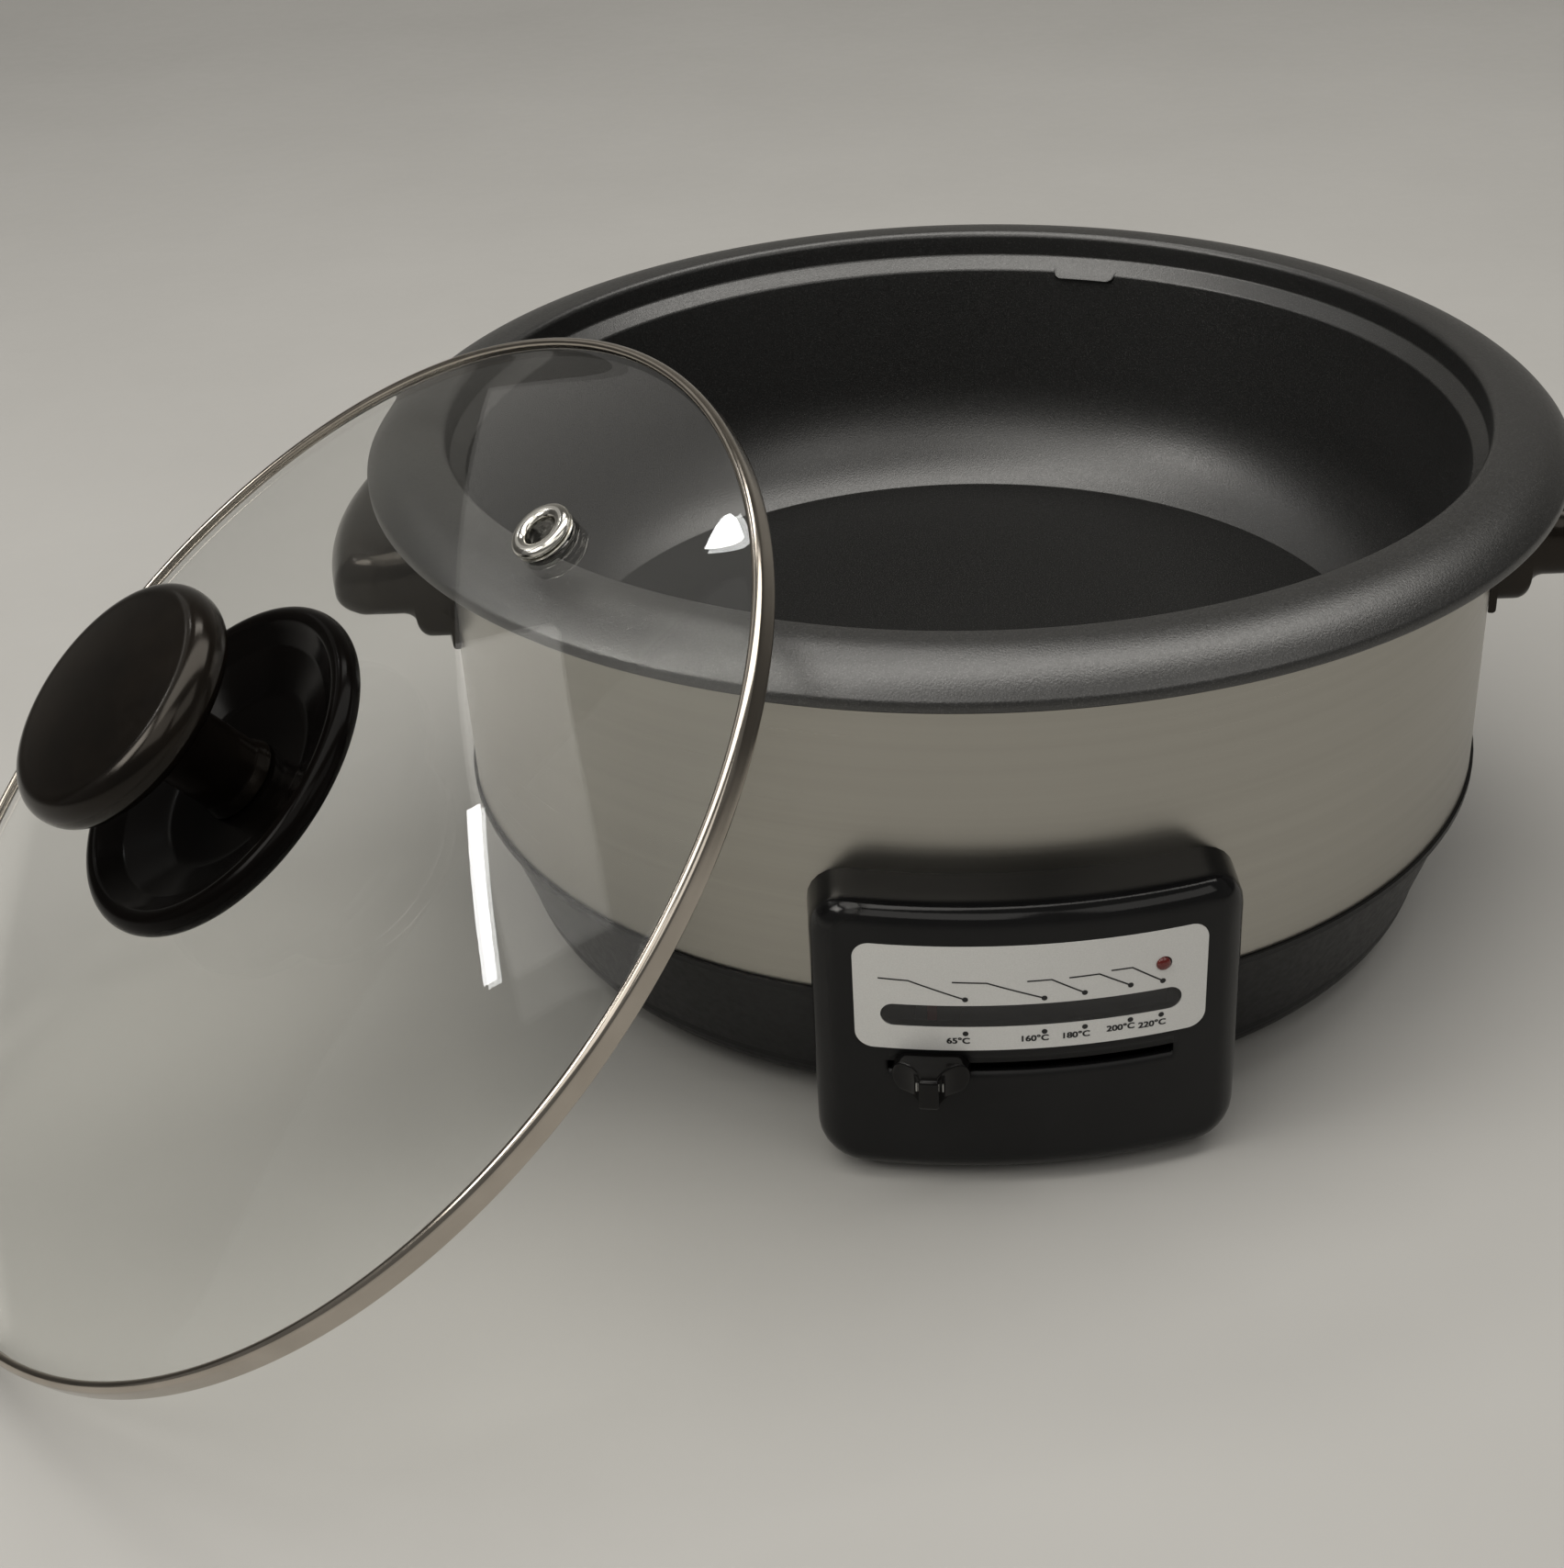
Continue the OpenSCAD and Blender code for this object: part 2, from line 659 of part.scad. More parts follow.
module control_label() color(silver_label) difference() {
    intersection() {
        ring(face_r + label_proud - label_t, face_r + label_proud, 0, crest_z);
        through_face(label_z, 60) label_outline(0);
    }
    through_face(window_z, 60) window_outline(fit);
    at_turn(lamp_turn) spoke(lamp_d + 2 * fit, band_r, face_r + 5, lamp_z);
}

module window_lens() color("#2c2e30") intersection() {
    ring(lens_back, face_r + label_proud - 0.1, 0, crest_z);
    through_face(window_z, 60) window_outline(0);
}

module lamp_lens() color(red) at_turn(lamp_turn) {
    spoke(lamp_d, lens_back - 1, face_r + label_proud + 0.3, lamp_z);
    spoke(lamp_d + 3, lens_back - 1.6, inner_r - fit, lamp_z);
}

module indicator_lamp() color("#d9c9b8") at_turn(lamp_turn)
    translate([0, -(lens_back - 1.6 - 2.5 - fit), lamp_z - 5]) {
        cylinder(d = 5, h = 11);
        translate([0, 0, 11]) sphere(d = 5);
    }

module slider_knob() color(black) at_turn(slider_turn) difference() {
    back = face_r + run;
    translate([0, -back + 1, slot_z - knob_z / 2]) linear_extrude(knob_z) difference() {
        translate([-knob_w / 2, -knob_reach - 1]) square([knob_w, knob_reach + 1]);
        for (x = [-1, 1]) translate([x * (knob_tip / 2 + scallop_r), -knob_reach]) circle(scallop_r);
        for (x = [-1, 1]) translate([x * (knob_tip / 2 + scallop_r + 10), -knob_reach + scallop_r - 10])
            square(20, center = true);
    }
    translate([0, 0, -1]) cylinder(r = back, h = crest_z, $fn = 128);
    translate([-stem_w / 2 - shaft_fit, -back - stem_out - shaft_fit, slot_z - stem_h / 2 - shaft_fit])
        cube([stem_w + 2 * shaft_fit, stem_out + 12, stem_h + 2 * shaft_fit]);
}

module slider_lever() color(plain_metal) at_turn(slider_turn) difference() {
    union() {
        translate([0, 0, lever_z + lever_t / 2 - hub_h / 2]) cylinder(d = hub_d, h = hub_h);
        translate([-lever_w / 2, -carriage_r, lever_z]) cube([lever_w, carriage_r, lever_t]);
        translate([-stem_w / 2, -face_r - run - stem_out, slot_z - stem_h / 2])
            cube([stem_w, face_r + run + stem_out - carriage_r + 1, stem_h]);
        intersection() {
            ring(carriage_r - carriage_t, carriage_r, slot_z - carriage_h / 2, slot_z + carriage_h / 2);
            translate([-carriage_w / 2, -face_r, 0]) cube([carriage_w, 40, crest_z]);
        }
    }
    cylinder(d = spindle_d + 2 * shaft_fit, h = crest_z);
}

module pointer() color(red) at_turn(slider_turn) intersection() {
    ring(carriage_r - 1.2, carriage_r, slot_z + carriage_h / 2, window_z + window_h / 2 + 0.5);
    translate([-pointer_w / 2, -face_r, 0]) cube([pointer_w, 40, crest_z]);
}

module power_inlet() color(black) difference() {
    translate([-inlet_w / 2, inlet_y - inlet_depth, inlet_z - inlet_h / 2])
        cube([inlet_w, inlet_depth, inlet_h]);
    translate([-inlet_w / 2 + inlet_wall, inlet_y - socket_depth, inlet_z - inlet_h / 2 + inlet_wall])
        cube([inlet_w - 2 * inlet_wall, socket_depth + 1, inlet_h - 2 * inlet_wall]);
    for (p = [[-blade_x, 0], [blade_x, 0], [0, 5]])
        translate([p[0] - blade_w / 2 - shaft_fit, 0, inlet_z + p[1] - blade_h / 2 - shaft_fit])
            cube([blade_w + 2 * shaft_fit, inlet_y, blade_h + 2 * shaft_fit]);
}

module inlet_pins() color(plain_metal)
    for (p = [[-blade_x, 0, wire_r[1]], [blade_x, 0, wire_r[0]], [0, 5, wire_r[0]]])
        translate([p[0] - blade_w / 2, p[2] - 3, inlet_z + p[1] - blade_h / 2])
            cube([blade_w, inlet_y - 3 - p[2] + 3, blade_h]);

// Carries a lid piece, drawn about its own axis, to the leaning pose
module leaning()
    rotate([0, 0, lid_bearing]) translate([lid_out, lid_side, lid_z]) rotate([0, lid_lean, 0])
        rotate([0, 0, 90]) children();

// Height of the dome's sphere at a distance from the lid's axis
function dome_at(sphere_r, r) = dome_axis_z + sqrt(pow(sphere_r, 2) - pow(r, 2));

module vent_place() rotate([0, 0, vent_turn]) translate([0, 0, dome_axis_z]) rotate([0, vent_lean, 0])
    translate([0, 0, dome_high]) children();

module lid_glass() color("#cfd8d8", 0.45) leaning() difference() {
    edge_a = asin(dome_r / dome_low);
    top_a = asin(dome_r / dome_high);
    turned(concat(
        [for (p = arc(0, dome_axis_z, dome_low, 90, 90 - edge_a, 16)) p],
        [[glass_r, glass_low], [glass_r, glass_low + glass_t], [dome_r + 3, glass_low + glass_t]],
        arc(0, dome_axis_z, dome_high, 90 - top_a, 90, 16)));
    cylinder(d = glass_hole_d, h = 100, center = true);
    vent_place() cylinder(d = vent_d + 2 * vent_neck, h = 30, center = true);
}

// Rolled steel channel round the edge of the glass
module lid_rim_band() color(steel) leaning() {
    half = ring_h / 2;
    bead = 1.5;
    lip = glass_t / 2 + fit;
    turned(concat(
        [[ring_r - ring_in, -lip], [ring_r - ring_in, -half], [ring_r - 0.8, -half], [ring_r, -half + 0.8]],
        arc(ring_r - bead, half - bead, bead, 0, 90, 6),
        arc(ring_r - ring_in + 0.6, half - 0.6, 0.6, 90, 180, 4),
        [[ring_r - ring_in, lip], [glass_r + fit, lip], [glass_r + fit, -lip]]));
}

// Rolled eyelet: a round bead on the glass, a neck through it and a flat flange below
module vent_grommet() color(steel) leaning() vent_place() {
    bore = vent_d / 2;
    under = -glass_t - fit;
    flange = vent_flange / 2 - 0.5;
    turned(concat(
        [[bore, under - vent_sheet], [flange, under - vent_sheet], [flange, under],
         [bore + vent_neck - fit, under], [bore + vent_neck - fit, fit]],
        arc(vent_flange / 2 - vent_bead, fit + vent_bead, vent_bead, -90, 90, 8),
        arc(bore + vent_bead, fit + vent_bead, vent_bead, 90, 180, 6)));
}

// Dished guard disc under the grip, with a raised round rim
module knob_base() color(black) leaning() difference() {
    seat = dome_top + fit;
    lip_z = seat + base_h - base_lip;
    turned(concat(
        [[0, seat], [base_foot_r, seat], [base_dish_r, seat + base_floor / 2]],
        arc(base_r - base_lip, lip_z, base_lip, -70, 120, 12),
        [[base_r - 3 * base_lip, lip_z], [base_dish_r, seat + base_floor + 1],
         [stem_r + 2, seat + base_floor], [0, seat + base_floor]]));
    cylinder(d = knob_screw_d + 2 * fit, h = 200, center = true);
}

module knob_grip() color(black) leaning() difference() {
    seat = dome_top + 2 * fit + base_floor;
    low = knob_h - knob_t;
    turned(concat(
        [[0, seat], [stem_r + 1.5, seat], [stem_r, seat + 4], [stem_r, low - grip_edge]],
        arc(stem_r + grip_edge, low - grip_edge, grip_edge, 180, 100, 5),
        arc(grip_r - grip_edge, low + grip_edge, grip_edge, -80, 0, 7),
        arc(grip_r - grip_edge, knob_h - grip_crown - grip_edge, grip_edge, 0, 84, 7),
        [[grip_r * 0.45, knob_h - 0.25], [0, knob_h]]));
    translate([0, 0, seat - eps])
        cylinder(d = knob_screw_d + 2 * shaft_fit, h = knob_screw_in - base_floor + 2);
}

module knob_washer() color("#40423f") leaning() difference() {
    top = dome_at(dome_low, washer_d / 2) - fit;
    translate([0, 0, top - washer_t]) cylinder(d = washer_d, h = washer_t);
    cylinder(d = knob_screw_d + 2 * fit, h = 100, center = true);
}

module knob_screw() color(plain_metal) leaning() {
    head = dome_at(dome_low, washer_d / 2) - fit - washer_t;
    translate([0, 0, head - 3]) cylinder(d = 11, h = 3);
    translate([0, 0, head]) cylinder(d = knob_screw_d, h = dome_top + knob_screw_in - head);
}

inner_pot();
steel_band();
base_cup();
rubber_feet();
base_screws();
heating_element();
heat_reflector();
thermostat_body();
thermostat_bracket();
thermal_fuse();
terminal_block();
supply_wires();
handle_left();
handle_right();
handle_screws();
control_housing();
housing_screws();
control_label();
window_lens();
lamp_lens();
indicator_lamp();
power_inlet();
inlet_pins();
slider_knob();
slider_lever();
pointer();
thermostat_spindle();
lid_glass();
lid_rim_band();
vent_grommet();
knob_grip();
knob_base();
knob_screw();
knob_washer();
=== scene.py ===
import json
import math

import bmesh
import bpy
import numpy as np
from mathutils import Matrix, Vector


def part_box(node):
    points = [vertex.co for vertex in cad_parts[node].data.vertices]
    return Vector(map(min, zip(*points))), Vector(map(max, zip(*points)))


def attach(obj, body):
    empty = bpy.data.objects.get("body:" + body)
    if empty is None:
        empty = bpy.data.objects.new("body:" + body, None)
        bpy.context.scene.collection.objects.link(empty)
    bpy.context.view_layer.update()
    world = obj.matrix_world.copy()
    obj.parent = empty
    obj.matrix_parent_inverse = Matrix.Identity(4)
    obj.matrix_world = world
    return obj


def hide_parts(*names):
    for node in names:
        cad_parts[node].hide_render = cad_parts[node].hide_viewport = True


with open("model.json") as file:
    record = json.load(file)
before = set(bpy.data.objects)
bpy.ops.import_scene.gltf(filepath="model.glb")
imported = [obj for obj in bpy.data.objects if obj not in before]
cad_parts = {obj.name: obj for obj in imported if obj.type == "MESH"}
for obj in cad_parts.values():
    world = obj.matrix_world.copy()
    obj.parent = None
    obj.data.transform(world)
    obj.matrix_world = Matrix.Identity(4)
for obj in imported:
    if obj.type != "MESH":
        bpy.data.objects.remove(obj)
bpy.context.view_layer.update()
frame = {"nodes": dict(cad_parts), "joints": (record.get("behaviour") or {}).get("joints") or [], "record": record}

# Sizes are in millimetres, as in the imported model; meshes are in metres.
# A sliver is the gap between pieces that meet.
MM = 0.001
SLIVER = 0.15


def node_box(node):
    """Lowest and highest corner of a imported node, in millimetres."""
    low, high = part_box(node)
    return np.array(low) / MM, np.array(high) / MM


# Camera, at the photograph's viewing angle
IMAGE_W, IMAGE_H = 1704, 1708
FOCAL_PX = 2500
CENTRE_PX = 960
SENSOR_MM = 36
CAMERA_AT = (-0.05516, -0.63047, 0.40281)
CAMERA_RIGHT = (0.99777, -0.05964, -0.03006)
CAMERA_UP = (0.05656, 0.51503, 0.85531)
CAMERA_BACK = (-0.03553, -0.8551, 0.51725)

# Stage, in metres: a floor that bends up into a backdrop
STAGE_NEAR, STAGE_FAR, STAGE_SIDE = -9.0, 5.0, 16.0
STAGE_ROWS, STAGE_COLUMNS = 160, 40
STAGE_BEND_AT, STAGE_BEND_R = 1.2, 0.8

# Lamps: name, place, the point it looks at, width and height, all in metres, then watts and colour
WARM, WHITE = (1.0, 0.97, 0.92), (1, 1, 1)
MIDDLE = (0, 0, 0.1)
LAMPS = (
    ("overhead", (0.1, -0.02, 1.70), (0.028, 0.166, 0), (3.0, 0.9), 28, WARM),
    ("front", (-0.5, -1.25, 1.35), MIDDLE, (1.4, 0.8), 5, WARM),
    ("fill", (0.9, -1.1, 1.2), MIDDLE, (1.2, 0.8), 3.4, WARM),
    ("side", (-1.25, -0.45, 0.97), MIDDLE, (0.56, 0.42), 5.0, WARM),
    ("back", (-0.2, 0.9, 1.9), MIDDLE, (0.8, 0.3), 4, WARM),
    ("panel", (-1.42, 1.15, 1.55), (0, 1.15, 1.55), (2.3, 1.1), 2.5, WARM),
    ("card", (-1.42, 0.5, 1.135), (0, 0.5, 1.135), (0.8, 0.27), 1.1, WARM),
    ("strip", (-1.475, 0.308, 1.016), MIDDLE, (0.355, 0.028), 0.5, WHITE),
    ("glint", (-0.968, 0.741, 1.32), MIDDLE, (0.07, 0.05), 0.25, WHITE),
)
ROOM_COLOUR, ROOM_STRENGTH = (0.80, 0.78, 0.74), 0.20

# Pot
POT_LOW, POT_HIGH = node_box("inner_pot")
CREST_Z = POT_HIGH[2]
RIM_R = POT_HIGH[0]
RIM_W, CROWN_R, CROWN_IN, RIM_T, LIP_H = 22, 22, 5, 2.4, 3
OPENING_R = RIM_R - RIM_W
POT_DEPTH, POT_WALL = 84, 3
SEAT_DEPTH, SEAT_IN, LEDGE_W, LEDGE_DROP = 8, 0.6, 4.4, 4
SEAT_R, SEAT_Z = OPENING_R - SEAT_IN, CREST_Z - SEAT_DEPTH
LEDGE_R, LEDGE_Z = SEAT_R - LEDGE_W, SEAT_Z - LEDGE_DROP
WALL_LEAN, FLOOR_R, FLOOR_IN = 4, 26, 16
SWEEP_OUT, SWEEP_Z, SWEEP_R = 0.3, 11.8, 41.5
FLOOR_Z = CREST_Z - POT_DEPTH
# roundings inside, at the lip and outside
FOOT_ROUND, LEDGE_ROUND, SEAT_ROUND, CREST_ROUND = 0.8, 1.5, 1.2, 2.1
LIP_ROUND, LIP_ROUND_IN, OUTER_ROUND, UNDER_ROUND = 0.9, 0.6, 1, 3
POT_COLUMNS = 288
COAT_IN, COAT_RISE, COAT_DEEP = 0.3, 0.06, 1
BOSS_R, BOSS_D, BOSS_ROUND, BOSS_TURNS = 100, 13, 0.8, (0, 120, 240)
TAB_TURN, TAB_SPAN, TAB_REACH, TAB_T = math.radians(68.5), math.radians(4.3), 1.8, 0.8
TAB_ROOT, TAB_TUCK, TAB_STRAIGHT = 1.5, 0.7, 0.7
# corners of the tab's tip, as steps out and up from its point
TAB_TIP = ((0.3, 0.27), (0, -0.2), (0.2, -TAB_T))

# Body
BAND_LOW, BAND_HIGH = node_box("steel_band")
BAND_R, BAND_Z, BAND_TOP = BAND_HIGH[0], BAND_LOW[2], BAND_HIGH[2]
BAND_T = 0.8
BAND_ROUND = BAND_T / 2.2

# Handles
HANDLE_Z, HANDLE_L, HANDLE_REACH, GRIP_T, GRIP_DROP = 129.5, 88, 34, 21, 2
HANDLE_TURN = math.radians(-2)
EAR_R, EAR_CORNER = 130, 12
NOSE_R, NOSE_DROP, STEP_R, STEP_OUT, BLOCK_DROP = 13, 5.5, 4, 5.5, 7.4
# largest roundings as shares of the height and of the step, and the foot's smaller one
NOSE_SHARE, STEP_SHARE, FOOT_EASE = 0.85, 0.45, 0.7
HOLLOW_OUT, HOLLOW_WALL, HOLLOW_ROOF, HOLLOW_ROUND = 10, 4, 9, 0.3
HANDLE_EDGE, BLOCK_ROUND = 6.5, 0.6
PLATE_T, PLATE_LOW, PLATE_IN = 2.4, 97, 0.5

# Controls
LABEL_R = -node_box("control_label")[0][1]
LABEL_T = 0.25
FACE_R = LABEL_R - LABEL_T
BOX_LOW, BOX_HIGH = node_box("control_housing")
BOX_W, BOX_Z, BOX_TOP = 2 * BOX_HIGH[0], BOX_LOW[2], BOX_HIGH[2]
BOX_EDGE, BOX_CORNER, BOX_WALL = 6.6, 11, 2.4
BOX_MIDDLE = (BOX_TOP + BOX_Z) / 2
# the flat part of the front, as half sizes, and how far behind it the gloss begins and ends
HALF_W, HALF_H, FACE_ROUND = BOX_W / 2 - BOX_EDGE, (BOX_TOP - BOX_Z) / 2 - BOX_EDGE, BOX_CORNER - BOX_EDGE
GLOSS_END, GLOSS_START = 0.9, 0.1
CUP_FOOT_R, CUP_CORNER, CUP_LEAN, FOOT_H = 142, 9, 10.7, 4
SLOT_Z, SLOT_H, SLOT_HALF = 38.8, 3.2, FACE_R * math.sin(math.radians(12.4))
WINDOW_Z, WINDOW_H, WINDOW_W = 55.1, 6.4, 76
POINTER_LOW, POINTER_HIGH = node_box("pointer")
SLIDER_TURN = math.atan2(POINTER_LOW[0] + POINTER_HIGH[0], -POINTER_LOW[1] - POINTER_HIGH[1])
KNOB_LOW, KNOB_HIGH = node_box("slider_knob")
SLIDER_W, SLIDER_TIP, SLIDER_REACH, SCALLOP_R, SLIDER_GAP, SLIDER_EDGE = 20, 5, 11.4, 8, 0.4, 1.2
SLIDER_BOW, SLIDER_WING, SLIDER_ROUND = 3.6, 0.6, 0.9
# the blunt tip's step in and out from the end of a scoop
NIB_IN, NIB_OUT = 0.4, 0.25
LAMP_LOW, LAMP_HIGH = node_box("lamp_lens")
LAMP_D, LAMP_SINK, LAMP_RISE, LAMP_FLAT = 3.8, 1.5, 0.05, 0.55
DOT_R, LEADER_W, NUMBER_H, NUMBER_WIDE = 0.75, 0.42, 1.7, 1.15
# height of the marks over the plate, with each stroke of a number a little higher; height of a digit in the font
MARK_RISE, NUMBER_RISE, STROKE_RISE, DIGIT_H = 0.06, 0.05, 0.01, 0.69
# a number is struck several times, a little aside, which makes its lines bold
STROKES = ((-0.10, -0.06), (0.10, -0.06), (-0.10, 0.06), (0.10, 0.06))
# each mark: dot over the window, dot under it, bend and top of the line, number; turns in degrees, heights in mm
MARKS = (
    ((-5.70, 60.4), (-5.70, 49.8), (-10.45, 65.9), (-12.99, 66.2), ("65°C", -6.32, 47.5)),
    ((0.93, 60.1), (0.96, 49.7), (-3.89, 65.4), (-6.78, 65.7), ("160°C", 0.10, 47.7)),
    ((4.34, 60.7), (4.40, 50.1), (1.53, 65.6), (-0.53, 65.5), ("180°C", 3.62, 47.8)),
    ((8.28, 61.2), (8.34, 50.4), (5.56, 65.9), (3.00, 65.7), ("200°C", 7.51, 48.4)),
    ((11.11, 60.9), (11.07, 50.4), (8.39, 66.5), (6.57, 66.5), ("220°C", 10.28, 48.0)),
)

# Lid, in its own frame: x sideways, y up the slope, z out along its axis
LID_AXIS = np.array(next(j for j in frame["joints"] if j["name"] == "lid_lift")["axis"])
LID_SIDE = np.array([LID_AXIS[1], -LID_AXIS[0], 0]) / -math.hypot(LID_AXIS[0], LID_AXIS[1])
LID_FRAME = np.array([LID_SIDE, np.cross(LID_AXIS, LID_SIDE), LID_AXIS])
RING_LOW, RING_HIGH = node_box("lid_rim_band")
LID_MIDDLE = (RING_LOW + RING_HIGH) / 2
RING_R, RING_H, RING_T, RING_IN = 148.4, 6.4, 0.6, 2.8
GLASS_T, DOME_H, EDGE_W = 4, 14, 2.5
GLASS_R = RING_R - RING_T - SLIVER
DOME_R = RING_R - EDGE_W
DOME_LOW = (DOME_R ** 2 + DOME_H ** 2) / (2 * DOME_H)
DOME_AXIS = -GLASS_T / 2 + DOME_H - DOME_LOW
DOME_TOP = DOME_AXIS + DOME_LOW + GLASS_T
DOME_BLEND, DOME_FADE = 0.4, 3
VENT_AT, VENT_TURN, VENT_D, VENT_FLANGE = 97, math.radians(79), 9.4, 17
VENT_NECK, VENT_BEAD, VENT_SHEET, VENT_WASHER = 1.5, 1.45, 0.8, 0.6
VENT_HOLE_R, VENT_BORE_R, VENT_NECK_R = VENT_D / 2 + VENT_NECK, VENT_D / 2 - 0.4, VENT_D / 2 + 0.7
BASE_R, BASE_H, BASE_LIP, BASE_FLOOR, BASE_FOOT_R, BASE_DISH_R = 46, 14.8, 3.6, 4.6, 16, 24
GRIP_R, KNOB_H, KNOB_T, GRIP_EDGE, GRIP_CROWN, STEM_R = 32.7, 65.8, 13.4, 5.5, 1.4, 10
RING_COLUMNS, GLASS_COLUMNS, VENT_COLUMNS, KNOB_COLUMNS = 320, 256, 72, 160


def arc(x, y, r, start, end, steps):
    """Points on a circle of radius r about (x, y), from one angle in degrees to another."""
    a = np.radians(np.linspace(start, end, steps + 1))
    return np.stack([x + r * np.cos(a), y + r * np.sin(a)], -1)


def rounded(corners, closed=False, steps=9):
    """An outline whose corners (x, y, radius) are rounded: each corner becomes an arc that touches both of its
    sides, cut into equal steps."""
    p = np.array(corners, float)
    before, after = np.roll(p, 1, 0), np.roll(p, -1, 0)
    pieces = []
    for k, (x, y, r) in enumerate(p):
        if r == 0 or (not closed and k in (0, len(p) - 1)):
            pieces.append([[x, y]])
            continue
        u, v = before[k, :2] - p[k, :2], after[k, :2] - p[k, :2]
        u, v = u / np.hypot(*u), v / np.hypot(*v)
        half = math.acos(np.clip(u @ v, -1, 1)) / 2
        centre = p[k, :2] + (u + v) / np.hypot(*(u + v)) * r / math.sin(half)
        first = p[k, :2] + u * r / math.tan(half) - centre
        turn = math.pi - 2 * half
        turn *= np.sign(-u[0] * v[1] + u[1] * v[0])
        a = np.linspace(0, turn, steps + 1)
        pieces.append(centre + np.stack([first[0] * np.cos(a) - first[1] * np.sin(a),
                                         first[0] * np.sin(a) + first[1] * np.cos(a)], -1))
    return np.concatenate(pieces)


def finer(points, longest, closed=False):
    """The same outline, with its long stretches cut into equal steps."""
    ends = np.roll(points, -1, 0) if closed else points[1:]
    starts = points[:len(ends)]
    cuts = np.maximum(1, np.ceil(np.linalg.norm(ends - starts, axis=1) / longest)).astype(int)
    steps = [a + (b - a) * np.arange(n)[:, None] / n for a, b, n in zip(starts, ends, cuts)]
    return np.concatenate(steps if closed else steps + [points[-1:]])


def turned(profile, count):
    """A profile (r, h) carried round the axis: x = r cos t, y = r sin t, z = h."""
    t = np.linspace(0, 2 * math.pi, count, endpoint=False)
    r, h = profile[:, :1], profile[:, 1:]
    return np.stack([r * np.cos(t), r * np.sin(t), h + 0 * t], -1)


def finished(name, mesh, sharp):
    """Merges doubles, closes poles, turns the faces outwards, smooths all but the sharp edges and links the piece."""
    work = bmesh.new()
    work.from_mesh(mesh)
    bmesh.ops.remove_doubles(work, verts=work.verts, dist=1e-7)
    bmesh.ops.dissolve_degenerate(work, edges=work.edges, dist=1e-8)
    bmesh.ops.recalc_face_normals(work, faces=work.faces)
    work.to_mesh(mesh)
    work.free()
    mesh.polygons.foreach_set("use_smooth", np.ones(len(mesh.polygons), bool))
    mesh.set_sharp_from_angle(angle=math.radians(sharp))
    piece = bpy.data.objects.new(name, mesh)
    bpy.context.scene.collection.objects.link(piece)
    return piece


def surface(name, grid, wrap=(False, True), caps=False, sharp=42):
    """A mesh over a grid of points: four neighbours make a face, wrap joins the last row or column to the first,
    and caps fill the first and last rows."""
    rows, columns = grid.shape[:2]
    index = np.arange(rows * columns).reshape(rows, columns)
    ends = [index[0].tolist(), index[-1][::-1].tolist()] if caps else []
    index = np.vstack([index, index[:1]]) if wrap[0] else index
    index = np.hstack([index, index[:, :1]]) if wrap[1] else index
    quads = np.stack([index[:-1, :-1], index[1:, :-1], index[1:, 1:], index[:-1, 1:]], -1).reshape(-1, 4)
    mesh = bpy.data.meshes.new(name)
    mesh.from_pydata((grid.reshape(-1, 3) * MM).tolist(), [], quads.tolist() + ends)
    return finished(name, mesh, sharp)


def on_lid(points):
    """Carries points from the lid's own frame to the leaning pose."""
    return points @ LID_FRAME + LID_MIDDLE


def dress(piece, body, slot, finish, *nodes):
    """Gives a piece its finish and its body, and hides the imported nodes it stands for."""
    piece.data.materials.clear()
    piece.data.materials.append(finish)
    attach(piece, body)
    if nodes:
        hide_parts(*nodes)


def dome_height(r, sphere, flat):
    """Height of the glass at a distance from its axis: the larger of a sphere and a flat edge, blended softly."""
    ball = DOME_AXIS + np.sqrt(sphere ** 2 - r ** 2)
    larger = (ball + flat + np.sqrt((ball - flat) ** 2 + DOME_BLEND ** 2)) / 2
    return larger - DOME_BLEND / 2 * np.exp(-((ball - flat) / DOME_FADE) ** 2)


